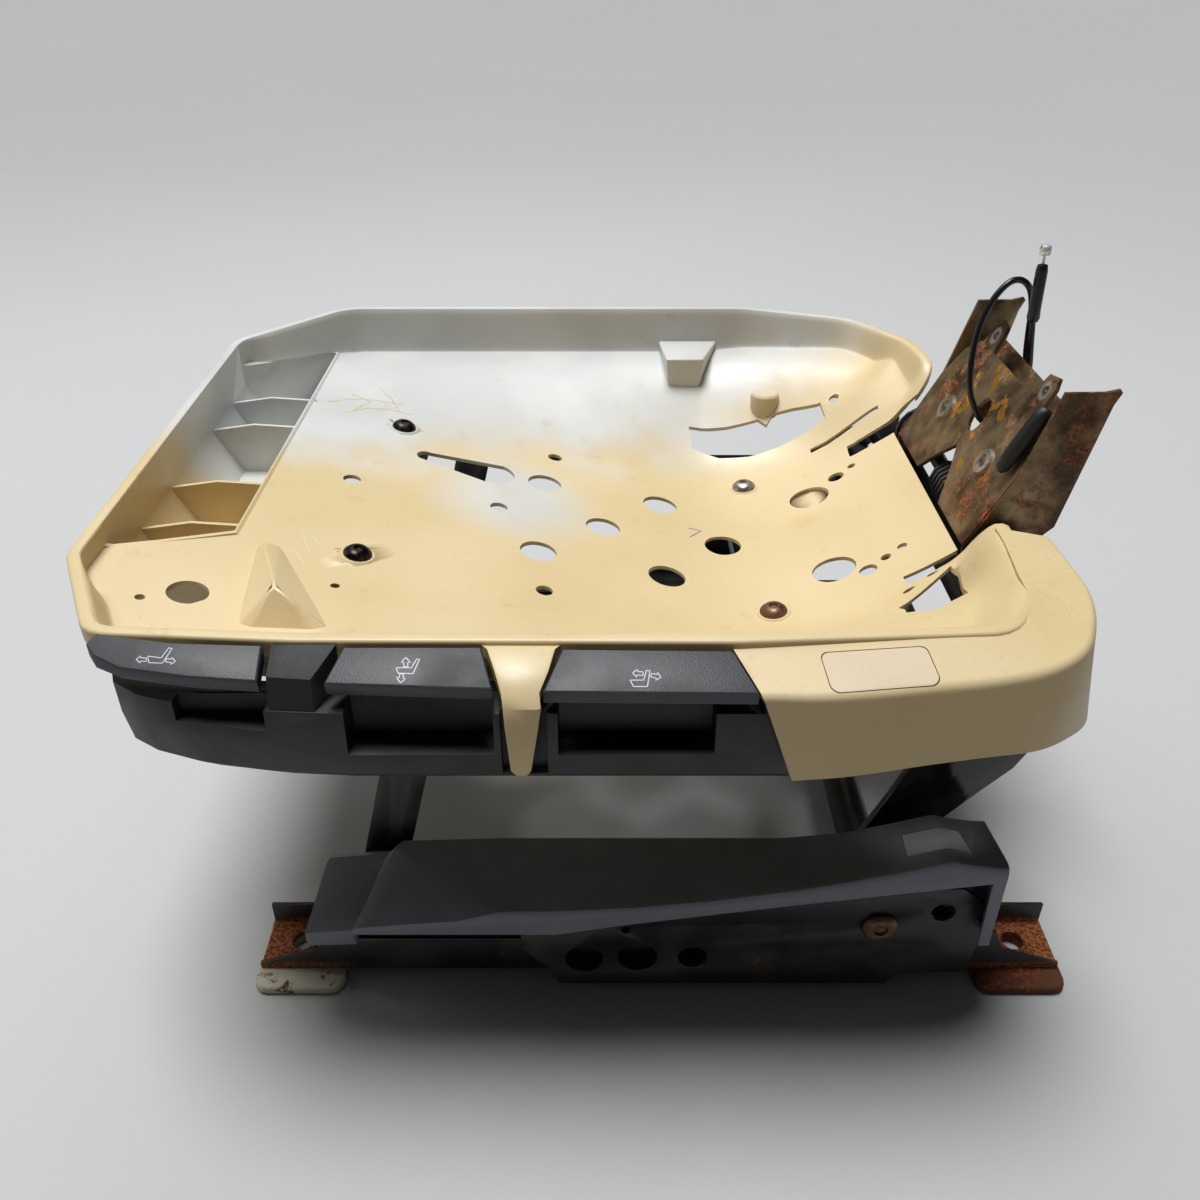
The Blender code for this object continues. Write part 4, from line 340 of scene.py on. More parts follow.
# paint over steel, from half matt on the rails to a deep gloss on the rear links
RAIL_PAINT = painted_steel("black rail paint", "#17171A", "#8A5230", 0.02, 0.36, 0.22, 1.0)
LOWER_PAINT = painted_steel("worn lower rail paint", "#1B1A1B", "#A8602C", 0.04, 0.42, 0.22, 4.0, "#5A2E16",
                            bare_ends=True)
FRAME_PAINT = painted_steel("black frame paint", "#121214", "#6E4630", 0.0, 0.40, 0.15, 7.0)
LINK_GLOSS = painted_steel("glossy black link enamel", "#0B0B0D", "#5A3A28", -0.04, 0.14, 0.06, 12.0)
CREAM_FOOT = painted_steel("cream foot paint", "#C0BBA8", "#8E4F27", 0.12, 0.55, 0.30, 15.0)
RUST_FOOT = painted_steel("orange foot rust", "#5A2E14", "#9A5424", 0.22, 0.80, 0.20, 18.0, "#5A2C16")
# bare metals: dull zinc, brown and black oxide, and the one bright piece
RUST = rusty_bracket()
ZINC = bare_metal("dull zinc plating", "#A9A7A0", "#6D5F4C", 0.32, 2.0)
BROWN_BOLT = bare_metal("rusty brown bolt", "#6A5644", "#70452A", 0.40, 5.0)
DARK_BOLT = bare_metal("black oxide bolt", "#2A2522", "#3D2E25", 0.25, 8.0)
BRIGHT = bare_metal("bright nickel nipple", "#E4E4E2", "#B9B7B2", 0.16, 3.0)
# smooth skins, and the inks and waxes of the marks
ACETAL = smooth_coat("white acetal", "#D8D6CC", 0.4)
SHEATH = smooth_coat("black cable sheath", "#121214", 0.32)
RUBBER = smooth_coat("black rubber buffer", "#161617", 0.5)
SIGN_INK = smooth_coat("pad printed pale grey ink", "#C9CCD2", 0.45)
CRAYON = smooth_coat("yellow wax crayon", "#CDBE7A", 0.6)
SCUFF = smooth_coat("white scuff in the lacquer", "#DED6C4", 0.6)
BLUE_MARK = smooth_coat("blue felt pen ink", "#3A62B8", 0.5)


# Cord: the backrest's release cable, 4.6 mm thick, which stands free on its own stiffness

CABLE_ROUTE = ((236, 5.5, 317), (229.5, 6.5, 324), (223, 10, 339), (222, 17, 358), (226, 26, 380),
               (234, 32, 398), (244, 36, 409), (254, 40, 410), (264, 46, 402), (271, 53, 386),
               (275, 59, 366), (277, 60, 350), (277, 53, 338), (275, 43, 338), (272, 37, 349),
               (269, 36, 366), (267, 36.5, 381))
CABLE_R = 2.3
CABLE_STEPS = 90


def smooth_path(route, count):
    """Points on a smooth curve through the route's own points."""
    pts = [Vector(p) for p in route]
    pts = [pts[0] * 2 - pts[1]] + pts + [pts[-1] * 2 - pts[-2]]
    spans = len(pts) - 3
    result = []
    for k in range(count):
        s = spans * k / (count - 1)
        i = min(int(s), spans - 1)
        t = s - i
        a, b, c, d = pts[i:i + 4]
        result.append(0.5 * ((2 * b) + (c - a) * t + (2 * a - 5 * b + 4 * c - d) * t * t
                             + (3 * b - a - 3 * c + d) * t ** 3))
    return result


def cable():
    """The sheath as a round curve; gives the piece, where it leaves the bracket and its length."""
    path = [at(*p) for p in smooth_path(CABLE_ROUTE, CABLE_STEPS)]
    curve = bpy.data.curves.new("backrest_cable_sheath", "CURVE")
    curve.dimensions = "3D"
    curve.bevel_depth = CABLE_R * MM
    curve.bevel_resolution = 5
    curve.use_fill_caps = True
    spline = curve.splines.new("POLY")
    spline.points.add(len(path) - 1)
    for point, place in zip(spline.points, path):
        point.co = (*place, 1.0)
    piece = bpy.data.objects.new("backrest_cable_sheath", curve)
    bpy.context.scene.collection.objects.link(piece)
    curve.materials.append(SHEATH)
    length = sum((b - a).length for a, b in zip(path, path[1:]))
    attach(piece, "backrest_stub")
    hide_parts("backrest_cable")
    return piece, path[0], length


cable_piece, cable_exit, cable_length = cable()


# Drawings in millimetres, made pieces of the frame

TURN_COUNT = 48


def skin(rings):
    """Skins rings of equal point counts, with a cap at each end."""
    bm = bmesh.new()
    rows = [[bm.verts.new(p) for p in ring] for ring in rings]
    count = len(rings[0])
    for low, high in zip(rows, rows[1:]):
        for i in range(count):
            j = (i + 1) % count
            bm.faces.new((low[i], low[j], high[j], high[i]))
    bm.faces.new(list(reversed(rows[0])))
    bm.faces.new(rows[-1])
    return bm


def prism(axis, outline, low, high):
    """A flat outline pushed along X, Y or Z; the outline gives the other two coordinates in order."""
    def place(point, depth):
        a, b = point
        return {"X": (depth, a, b), "Y": (a, depth, b), "Z": (a, b, depth)}[axis]
    return skin([[place(p, low) for p in outline], [place(p, high) for p in outline]])


def circle(cx, cy, radius, count=48):
    """Points on a circle."""
    return [(cx + radius * math.cos(math.tau * i / count), cy + radius * math.sin(math.tau * i / count))
            for i in range(count)]


def arc(cx, cy, radius, first, last, count=8):
    """Points on an arc, with its angles in degrees."""
    return [(cx + radius * math.cos(math.radians(first + (last - first) * i / count)),
             cy + radius * math.sin(math.radians(first + (last - first) * i / count)))
            for i in range(count + 1)]


def rounded(corners, steps):
    """An outline whose corners (x, y, radius) are rounded by arcs."""
    points = []
    total = len(corners)
    for i, (x, y, radius) in enumerate(corners):
        before = Vector(corners[i - 1][:2])
        here = Vector((x, y))
        after = Vector(corners[(i + 1) % total][:2])
        if radius <= 0:
            points.append((x, y))
            continue
        back = (before - here).normalized()
        ahead = (after - here).normalized()
        half = back.angle(ahead) / 2
        reach = radius / math.tan(half)
        centre = here + (back + ahead).normalized() * (radius / math.sin(half))
        first = here + back * reach - centre
        turn = first.angle_signed(here + ahead * reach - centre)
        for k in range(steps + 1):
            spoke = Vector(first)
            spoke.rotate(Matrix.Rotation(-turn * k / steps, 2))
            points.append(tuple(centre + spoke))
    return points


def hull(points, soft_mm):
    """A convex block through the points, with its edges rounded."""
    bm = bmesh.new()
    result = bmesh.ops.convex_hull(bm, input=[bm.verts.new(p) for p in points])
    loose = [g for g in result["geom_interior"] + result["geom_unused"] if isinstance(g, bmesh.types.BMVert)]
    bmesh.ops.delete(bm, geom=loose, context="VERTS")
    bmesh.ops.dissolve_limit(bm, angle_limit=math.radians(3), verts=bm.verts, edges=bm.edges)
    bmesh.ops.bevel(bm, geom=bm.edges[:], offset=soft_mm, segments=4, profile=0.5, affect="EDGES",
                    clamp_overlap=True)
    return bm


def turned(profile, centre, axis):
    """A turned drawing: profile points are (radius, distance along the axis)."""
    angles = [math.tau * i / TURN_COUNT for i in range(TURN_COUNT)]
    direction = Vector(axis).normalized()
    across = direction.orthogonal().normalized()
    third = direction.cross(across)
    origin = Vector(centre)
    return skin([[origin + direction * along + (across * math.cos(a) + third * math.sin(a)) * radius
                  for a in angles] for radius, along in profile])


def piece_from(name, bm, material=None):
    """A drawing as an object of the frame, with its faces outward."""
    bmesh.ops.recalc_face_normals(bm, faces=bm.faces)
    for vert in bm.verts:
        vert.co = at(*vert.co)
    mesh = bpy.data.meshes.new(name)
    bm.to_mesh(mesh)
    bm.free()
    piece = bpy.data.objects.new(name, mesh)
    bpy.context.scene.collection.objects.link(piece)
    if material is not None:
        mesh.materials.append(material)
    return piece


def carve(piece, bm, operation="DIFFERENCE"):
    """Cuts a drawing out of a piece, joins it to it, or keeps what they share."""
    tool = piece_from("tool", bm)
    step = piece.modifiers.new("carve", "BOOLEAN")
    step.operation = operation
    step.solver = "EXACT"
    step.object = tool
    only(piece)
    bpy.ops.object.modifier_apply(modifier=step.name)
    bpy.data.objects.remove(tool)


# Seat pan: its own surfaces, drawn finely enough to look moulded

PAN_T = 3.0
FLOOR_Z = 225.9                        # the floor's height, slope and rear curve
FLOOR_SLOPE = 0.2185
FLOOR_CURVE = 0.002617
FLOOR_CURVE_START = 15.6
FLOOR_CENTRE = (-60.0, 0.0)
FLOOR_SCALES = (0.985, 0.96, 0.93, 0.90, 0.87, 0.84, 0.81, 0.78, 0.74, 0.70, 0.66, 0.61, 0.56, 0.51, 0.45,
                0.38, 0.32, 0.25, 0.18, 0.12, 0.05)
CORNER_SWELL = 11                      # how far the rear corners rise above the swollen sides
TAB_X = 197.6
TAB_HALF = 94.5
RIM_Z = 318.0
RIM_TILT = 0.0137
RIM_WIDTH = 6.0
RIM_END = 150                          # the rim falls only behind this x
RIM_NEAR_START = 101                   # and over RIM_FALL from here on the near side
RIM_FALL = 46
WALL_FRONT = 5.0                       # widths of the slope from the rim to the floor
WALL_REST = 8.0
WALL_CORNER = 15.0
WALL_STEPS = 12
TROUGH_Z = 249.0
SMOOTH_ANGLE = 30
OUTLINE = ((-351, -176, 22), (-311, -254, 20), (-200, -261, 120), (30, -262, 60), (178, -254, 26),
           (204, -206, 40), (206, -130, 30), (TAB_X, -TAB_HALF, 0), (TAB_X, TAB_HALF, 0), (229.5, 118, 22),
           (222, 172, 40), (180, 226, 50), (90, 256, 60), (-274, 256, 40), (-351, 172, 30))
OUTLINE_COUNT = 300
FLANGE_STEPS = 82
FLANGE_SOFT = 5                        # how far the flange's rounded edge reaches to each side
ROUND_HOLES = ((-224.5, 0, 6.3), (-117.2, 0, 6.5), (-39.1, 0, 13), (52.8, 0, 14), (-85.4, 53.3, 13),
               (-85.4, -53.3, 13), (6.9, 54.5, 13.5), (6.9, -54.5, 13.5), (126.5, 55.3, 15),
               (126.5, -55.3, 15), (-78.9, 103.2, 5.8), (-78.9, -103.2, 5.8), (-207.7, -144.6, 3),
               (-286.9, -176.4, 12), (-309.6, -189.5, 2.9), (150, 72.5, 6), (147, -70, 6), (163, 79, 3),
               (160, -63, 3.4), (171.5, -59, 3.2), (162, -118, 3.4), (177, -114, 3.2), (160, 158, 4))
PAN_BOLTS = ((-202.0, 102.0), (-202.0, -102.0), (79.0, 94.0), (79.0, -94.0))
FLANGE_STATIONS = (
    # rim side, outer top edge and bottom edge of the near flange, from the paddles to the rear
    ((25, -258, 311.3), (40, -294, 301.5), (60, -292, 244)),
    ((72, -256, 312.4), (75, -294, 301.2), (90, -292, 247)),
    ((130, -254, 313.6), (130, -289, 303.5), (130, -291, 254)),
    ((164, -249, 314.3), (165, -285, 305.5), (160, -289, 257.5)),
    ((181.5, -240, 314.8), (190, -279, 307.5), (190, -281, 255)),
    ((192.5, -222, 315.05), (210, -267, 311), (212, -267, 251.5)),
    ((194.5, -199, 315.35), (222, -245, 314), (231, -248, 248)),
    ((196.5, -177, 315.65), (229, -218, 315.5), (239, -223, 249)),
    ((197.5, -162, 315.85), (229, -186, 315.8), (240, -190, 253)),
    ((197.5, -147, 316.05), (228, -158, 315.5), (238, -162, 262)),
)


def smoothstep(t):
    """0 below 0, 1 above 1, and a soft S between."""
    t = min(max(t, 0.0), 1.0)
    return t * t * (3 - 2 * t)


def floor_height(x, y):
    """Top of the pan: a sloped plane that curves up to the rear and swells up at both sides."""
    base = FLOOR_Z - FLOOR_SLOPE * x + FLOOR_CURVE * max(0.0, x - FLOOR_CURVE_START) ** 2
    rear = min(max((x - 50) / 145, 0.0), 1.0)
    top = 284 + 16 * rear
    start = 115 - 15 * rear
    end = 242 - 40 * rear
    corner = CORNER_SWELL * smoothstep((x - 140) / 50) * smoothstep((abs(y) - TAB_HALF + 0.5) / 32)
    swell = max(0.0, top - base) * smoothstep((abs(y) - start) / (end - start))
    return base + min(swell + corner, max(swell, 28.0))


def even_loop(points, count):
    """Points at even steps round a closed outline, with the tab's corners kept sharp."""
    loop = [Vector(p) for p in points]
    lengths = [(loop[(i + 1) % len(loop)] - loop[i]).length for i in range(len(loop))]
    total = sum(lengths)
    result = []
    for k in range(count):
        target = total * k / count
        i = 0
        while target > lengths[i]:
            target -= lengths[i]
            i += 1
        result.append(loop[i].lerp(loop[(i + 1) % len(loop)], target / lengths[i]))
    for corner in (Vector((TAB_X, -TAB_HALF)), Vector((TAB_X, TAB_HALF))):
        nearest = min(range(count), key=lambda k: (result[k] - corner).length)
        result[nearest] = corner
    return result


def rim_lift(x, y):
    """1 along the rim, falling to 0 at the tab where the pan ends in a plain edge."""
    start = RIM_NEAR_START if y < 0 else TAB_HALF - 3
    return 1.0 if x < RIM_END else smoothstep((abs(y) - start) / RIM_FALL)


def pan_drawing():
    """The bowl with its rolled rim, both skins."""
    outline = even_loop(rounded(OUTLINE, 12), OUTLINE_COUNT)
    inward = []
    for i in range(OUTLINE_COUNT):
        along = (outline[(i + 1) % OUTLINE_COUNT] - outline[i - 1]).normalized()
        inward.append(Vector((-along.y, along.x)))
    centre = Vector(FLOOR_CENTRE)

    def wall(p):
        """Width of the slope from the rim to the floor: steep in front, wide in the near rear corner."""
        corner = smoothstep((p.x - 150) / 40) * smoothstep((-p.y - 108) / 40)
        return WALL_FRONT + WALL_REST * smoothstep((p.x + 349) / 16) + WALL_CORNER * corner

    def ring(offset, drop, foot=0.0, rise=None):
        """A loop inside the outline; drop is for the tab and for the rim, foot goes down the wall."""
        points = []
        for p, n in zip(outline, inward):
            lift = rim_lift(p.x, p.y)
            reach = offset * lift if offset < 0 and foot == 0 else offset
            q = p + n * (reach + foot * wall(p))
            crest = RIM_Z + RIM_TILT * p.y
            low = floor_height(q.x, q.y)
            share = 1.0 - foot if rise is None else rise
            z = low + max(0.0, crest - low) * lift * share
            points.append((q.x, q.y, z - (drop[0] * (1 - lift) + drop[1] * lift)))
        return points

    def floor_ring(scale, drop):
        """A loop of the floor, shrunk to its centre."""
        points = []
        for p, n in zip(outline, inward):
            q = centre + (p + n * (wall(p) + 1) - centre) * scale
            points.append((q.x, q.y, floor_height(q.x, q.y) - drop))
        return points

    top = [ring(-2, (3.4, 11.0)), ring(-2, (1.4, 2.4)), ring(-1.7, (0.8, 1.2)), ring(-1.1, (0.4, 0.5)),
           ring(0, (0, 0.1)), ring(RIM_WIDTH - 2.0, (0, 0.0)), ring(RIM_WIDTH - 0.6, (0, 0.4))]
    for k in range(1, WALL_STEPS + 1):
        foot = k / WALL_STEPS
        top.append(ring(RIM_WIDTH - 5 * foot, (0, 0.4 * (1 - foot)), foot,
                        0.55 * (1 - smoothstep(foot)) + 0.45 * (1 - foot) ** 1.5))
    top += [floor_ring(s, 0.0) for s in FLOOR_SCALES]
    under = [ring(0.6, (3.4, 11.0)), ring(0.6, (3.0, 3.4)), ring(RIM_WIDTH - 3.2, (3.0, 3.6)),
             ring(-3.0, (PAN_T, PAN_T), foot=1.0)]
    under += [floor_ring(s, PAN_T) for s in FLOOR_SCALES[1::2]]
    return skin(list(reversed(top)) + under)


def flange_drawing():
    """The near flange and its outer wall, swept round the near rear corner."""
    rows = [smooth_path([station[k] for station in FLANGE_STATIONS], FLANGE_STEPS) for k in range(3)]
    rings = []
    for i in range(FLANGE_STEPS):
        rim, edge, foot = (row[i] for row in rows)
        along = (rows[1][min(i + 1, FLANGE_STEPS - 1)] - rows[1][max(i - 1, 0)]).normalized()
        inside = Vector((-along.y, along.x, 0)).normalized()
        down = Vector((0, 0, -PAN_T))
        soft_top = edge + (rim - edge).normalized() * FLANGE_SOFT
        soft_side = edge + (foot - edge).normalized() * FLANGE_SOFT
        bend = [soft_top.lerp(edge, t).lerp(edge.lerp(soft_side, t), t)
                for t in (0.17, 0.34, 0.5, 0.66, 0.83)]
        rings.append([rim, soft_top, *bend, soft_side, foot, foot + inside * PAN_T,
                      soft_side + inside * PAN_T + down * 0.4, soft_top + down + inside * 0.6, rim + down])
    return skin(rings)


def strut_drawing():
    """The V-shaped strut that hangs down between two paddles: y, z, both sides' x, front drop and depth."""
    rows = ((-258.5, 311.0, -107, -58, 4.0, 0.0), (-268, 311.9, -99.5, -64.5, 4.0, 0.0),
            (-280, 307.0, -95, -67.5, 4.5, 0.0), (-292, 302.06, -91, -71.8, 6.0, 3.0),
            (-297, 296.0, -90, -71, 5.0, 7.0), (-298.5, 285.0, -89.5, -72.5, 0.0, 9.0),
            (-298.5, 256.0, -87.5, -77.0, 0.0, 9.0), (-296.5, 251.5, -85.5, -79.0, -1.0, 7.0))
    rings = []
    for y, z, x0, x1, drop, back in rows:
        inset = min(1.6, (x1 - x0) / 5)
        rings.append([(x0, y + 0.9, z), (x0 + inset, y, z), (x1 - inset, y, z), (x1, y + 0.9, z),
                      (x1, y + back, z - drop - 0.9), (x0, y + back, z - drop - 0.9)])
    return skin(rings)


def cap_plan(grow):
    """A block over the trim cap's rounded plan, grown all round for its slot in the flange."""
    plan = rounded([(72 - grow, -267.0 + grow, 4), (127 + grow, -263.5 + grow, 4),
                    (130.5 + grow, -286.5 - grow, 5), (75 - grow, -291.0 - grow, 5)], 8)
    return prism("Z", plan, 296 - grow, 330)


def trough_drawing(outer):
    """The trough behind the front wall: its outside, or the air in it."""
    if outer:
        section = [(-350.5, 306), (-348.5, 283), (-330, TROUGH_Z - PAN_T), (-299, TROUGH_Z - PAN_T),
                   (-275, 284), (-279, 288.2), (-340, 299.5)]
        grow = 3.0
    else:
        section = [(-345.2, 330), (-345.2, 284), (-326, TROUGH_Z), (-302, TROUGH_Z), (-280, 287.6),
                   (-284, 330)]
        grow = 0.0
    bm = prism("Y", section, -170, 226 + grow)
    near_normal = Vector((46.0, -73.0, 0.0)).normalized()
    far_normal = Vector((-84.0, 77.0, 0.0)).normalized()
    for point, normal in (((-278, -100, 0), near_normal), ((-346, 158, 0), far_normal)):
        geom = bm.verts[:] + bm.edges[:] + bm.faces[:]
        result = bmesh.ops.bisect_plane(bm, geom=geom, plane_co=Vector(point) + normal * grow,
                                        plane_no=normal, clear_outer=True)
        rim = [g for g in result["geom_cut"] if isinstance(g, bmesh.types.BMEdge)]
        bmesh.ops.contextual_create(bm, geom=rim)
    return bm


def bolt_axis(x):
    """The direction square to the sloped floor at x."""
    slope = (floor_height(x + 1, 0) - floor_height(x - 1, 0)) / 2
    return Vector((-slope, 0, 1)).normalized()


def seat_pan():
    """The pan and its trim cap. The tab's slots are cut first, while the shell is still plain."""
    pan = piece_from("seat_pan_moulding", pan_drawing(), LACQUER)
    for side in (-1, 1):
        slot = sorted((side * (TAB_HALF - 0.5), side * (TAB_HALF + 13.5)))
        carve(pan, prism("Y", [(164.5, 200), (245, 200), (245, 330), (164.5, 330)], *slot))
    carve(pan, flange_drawing(), "UNION")
    carve(pan, strut_drawing(), "UNION")
    carve(pan, trough_drawing(True), "UNION")
    carve(pan, trough_drawing(False))
    fin = [(-347, 284), (-312, 289), (-277, 286.5), (-296, TROUGH_Z - 2), (-331, TROUGH_Z - 2)]
    for y in (121.0, 67.0, -31.0, -91.0):
        carve(pan, prism("Y", fin, y - 1.5, y + 1.5), "UNION")

    def on(x, y, up):
        return (x, y, floor_height(x, y) + up)
    carve(pan, hull([on(-252, -202, -1.5), on(-198, -202, -1.5), (-230, -190, 303), on(-264, -112, -1.5),
                     on(-250, -106, -1.5), (-257, -116, 289), on(-244, -206, -1.5),
                     on(-206, -206, -1.5)], 2.0), "UNION")
    carve(pan, hull([(17, 198, 293), (50, 198, 293), (12, 246, 293), (66, 246, 293), (20, 200, 264),
                     (47, 200, 264), (20, 246, 270), (56, 246, 270)], 1.8), "UNION")
    for x, y in PAN_BOLTS:
        spot = (x, y, floor_height(x, y))
        carve(pan, turned([(13.0, 0.2), (14.5, 12)], spot, bolt_axis(x)))
        carve(pan, turned([(12.0, -2.4), (12.0, 0), (11.0, 1.0)], spot, bolt_axis(x)), "UNION")
        carve(pan, prism("Z", circle(x, y, 4.7, 24), 190, 320))
    carve(pan, cap_plan(0.5))
    for x, y, radius in ROUND_HOLES:
        carve(pan, prism("Z", circle(x, y, radius), 190, 320))
    tear = arc(-126, 53, 17, -105, 65, 16) + arc(-179, 61, 7, 65, 250, 12)
    lower = [(39, 149), (62, 139), (88, 136), (115, 138), (137, 142), (152, 147)]
    upper = [(149, 160), (126, 164), (110, 165), (104, 158), (97, 164), (70, 164), (37, 167)]
    frayed = [(147, -150), (184, -124), (176, -181), (151, -203), (136, -198)]
    carve(pan, prism("Z", tear, 230, 320))
    carve(pan, prism("Z", lower + upper, 200, 300))
    carve(pan, prism("Z", frayed, 200, 330))
    carve(pan, prism("Z", [(138, 122), (190, 122), (190, 126), (138, 126)], 200, 330))
    post = [(11.5, 251), (12.5, 267), (12.0, 270), (10.5, 271.6), (5, 272)]
    carve(pan, turned(post, (103, 175, 0), (0, 0, 1)), "UNION")
    only(pan)
    bpy.ops.object.shade_smooth_by_angle(angle=math.radians(SMOOTH_ANGLE))
    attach(pan, "seat_body")
    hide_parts("seat_pan")
    cap = piece_from("trim_cap_moulding", flange_drawing(), CAP_LACQUER)
    carve(cap, cap_plan(0.0), "INTERSECT")
    only(cap)
    bpy.ops.object.shade_smooth_by_angle(angle=math.radians(SMOOTH_ANGLE))
    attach(cap, "seat_body")
    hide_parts("trim_cap")
    return pan


# Marks and pictograms, drawn as thin paint strokes on what carries them


def seen(tree, px, py):
    """The place on a surface that the camera sees at a pixel of the frame, and its normal."""
    middle = FRAME_PX / 2
    way = Vector(((px - middle) / LENS_PIXELS, (middle - py) / LENS_PIXELS, -1.0))
    way = camera.matrix_world.to_3x3() @ way
    spot, normal, _, _ = tree.ray_cast(camera.matrix_world.translation, way.normalized())
    return spot, normal


def surface_of(piece):
    """A piece's surface, ready for rays."""
    deselect()
    return BVHTree.FromObject(piece, bpy.context.evaluated_depsgraph_get())


def strokes(name, carrier, body, lines, width_mm, material, lift_mm, step_px=2.0):
    """Narrow bands of paint along lines of pixels, laid on the surface that carries them."""
    tree = surface_of(carrier)
    bm = bmesh.new()
    for line in lines:
        dense = []
        for (ax, ay), (bx, by) in zip(line, line[1:]):
            steps = max(1, int(math.hypot(bx - ax, by - ay) / step_px))
            dense += [(ax + (bx - ax) * k / steps, ay + (by - ay) * k / steps) for k in range(steps)]
        dense.append(line[-1])
        spots = [found for found in (seen(tree, *p) for p in dense) if found[0] is not None]
        closed = line[0] == line[-1]
        pairs = []
        for k, (spot, normal) in enumerate(spots):
            before = spots[k - 1][0] if k else (spots[-2][0] if closed else spot)
            after = spots[k + 1][0] if k + 1 < len(spots) else (spots[1][0] if closed else spot)
            across = normal.cross(after - before).normalized() * (width_mm / 2 * MM)
            up = normal * (lift_mm * MM)
            pairs.append([bm.verts.new(spot + sign * across + rise)
                          for sign, rise in ((-1, -up), (-1, up), (1, up), (1, -up))])
        for a, b in zip(pairs, pairs[1:]):
            for i in range(4):
                j = (i + 1) % 4
                bm.faces.new((a[i], a[j], b[j], b[i]))
        bm.faces.new(list(reversed(pairs[0])))
        bm.faces.new(pairs[-1])
    bmesh.ops.recalc_face_normals(bm, faces=bm.faces)
    mesh = bpy.data.meshes.new(name)
    bm.to_mesh(mesh)
    bm.free()
    piece = bpy.data.objects.new(name, mesh)
    bpy.context.scene.collection.objects.link(piece)
    mesh.materials.append(material)
    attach(piece, body)
    return piece


def closed_line(*points):
    """A line that ends where it begins."""
    return [*points, points[0]]


def arrow(tail, tip, shaft, head):
    """A block arrow's outline between two pixels, with its half widths."""
    a, b = Vector(tail), Vector(tip)
    way = (b - a).normalized()
    across = Vector((-way.y, way.x))
    neck = b - way * head * 1.1
    corners = (a + across * shaft, neck + across * shaft, neck + across * head, b,
               neck - across * head, neck - across * shaft, a - across * shaft)
    return closed_line(*[tuple(p) for p in corners])


# CAD nodes: merged copies with softened edges

MERGE_M = 0.000004
EDGE_ANGLE = 32.0                      # degrees from which an edge is rounded and stays sharp in the shading
EDGE_SEGMENTS = 2


def soften(name, material, edge_mm):
    """A merged copy of a CAD node with rounded edges, which stands for that node."""
    source = frame["nodes"][name]
    body = source["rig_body"]
    piece = source.copy()
    piece.data = source.data.copy()
    piece.name = f"{name}_finished"
    for key in list(piece.keys()):
        if key.startswith("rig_"):
            del piece[key]
    bpy.context.scene.collection.objects.link(piece)
    piece.parent = None
    piece.matrix_world = Matrix.Identity(4)
    piece.data.materials.clear()
    piece.data.materials.append(material)
    only(piece)
    bpy.ops.object.mode_set(mode="EDIT")
    bpy.ops.mesh.select_all(action="SELECT")
    bpy.ops.mesh.remove_doubles(threshold=MERGE_M)
    bpy.ops.mesh.dissolve_limited(angle_limit=math.radians(1.0))
    bpy.ops.object.mode_set(mode="OBJECT")
    if edge_mm:
        edge = piece.modifiers.new("edge", "BEVEL")
        edge.width = edge_mm * MM
        edge.segments = EDGE_SEGMENTS
        edge.limit_method = "ANGLE"
        edge.angle_limit = math.radians(EDGE_ANGLE)
        edge.use_clamp_overlap = True
        bpy.ops.object.modifier_apply(modifier=edge.name)
    bpy.ops.object.shade_smooth_by_angle(angle=math.radians(EDGE_ANGLE))
    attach(piece, body)
    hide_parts(name)


for side in ("left", "right"):
    soften(f"front_foot_{side}", CREAM_FOOT, 0.5)
    soften(f"rear_foot_{side}", RUST_FOOT, 0.5)
    soften(f"lower_rail_{side}", LOWER_PAINT, 0.7)
    soften(f"upper_rail_{side}", RAIL_PAINT, 0.5)
    soften(f"lock_rack_{side}", ZINC, 0.3)
    soften(f"side_bracket_{side}", RAIL_PAINT, 0.6)
    soften(f"glide_cage_{side}", ACETAL, 0.4)
    soften(f"slide_latch_{side}", ZINC, 0.3)
    soften(f"rear_link_{side}", LINK_GLOSS, 1.2)
    soften(f"front_link_{side}", FRAME_PAINT, 0.8)
    soften(f"pan_frame_{side}", FRAME_PAINT, 0.5)
    soften(f"recliner_plate_{side}", FRAME_PAINT, 0.5)
    soften(f"recliner_disc_{side}", RAIL_PAINT, 0.4)
    soften(f"rear_pivot_bolt_{side}", BROWN_BOLT, 0.4)
    soften(f"front_pivot_bolt_{side}", ZINC, 0.3)
    soften(f"front_upper_pin_{side}", ZINC, 0.3)
    soften(f"front_pan_bolt_{side}", DARK_BOLT, 0.3)
    soften(f"rear_pan_bolt_{side}", BROWN_BOLT if side == "left" else ZINC, 0.3)
for name, material, width in (
        ("rear_torque_tube", FRAME_PAINT, 0.5), ("front_torque_tube", FRAME_PAINT, 0.5),
        ("rear_upper_shaft", ZINC, 0.4), ("height_quadrant", ZINC, 0.3), ("height_pawl", ZINC, 0.3),
        ("front_cross_member", FRAME_PAINT, 0.8), ("middle_cross_member", FRAME_PAINT, 0.8),
        ("rear_cross_member", FRAME_PAINT, 1.5), ("recliner_axle", RAIL_PAINT, 0.4),
        ("recliner_spring", RAIL_PAINT, 0.0), ("backrest_bracket", RUST, 0.6),
        ("bracket_buffer", RUBBER, 0.6),
        ("cable_sleeve", SHEATH, 0.3), ("cable_nipple", BRIGHT, 0.3), ("paddle_carrier", CARRIER_SHADED, 1.8),
        ("slide_paddle", CHARCOAL, 1.6), ("height_paddle", CHARCOAL, 1.6), ("recline_paddle", CHARCOAL, 1.6),
        ("cover_window_left", INSERT, 0.3), ("rail_cover_left", COVER_LIGHTENED, 2.6)):
    soften(name, material, width)

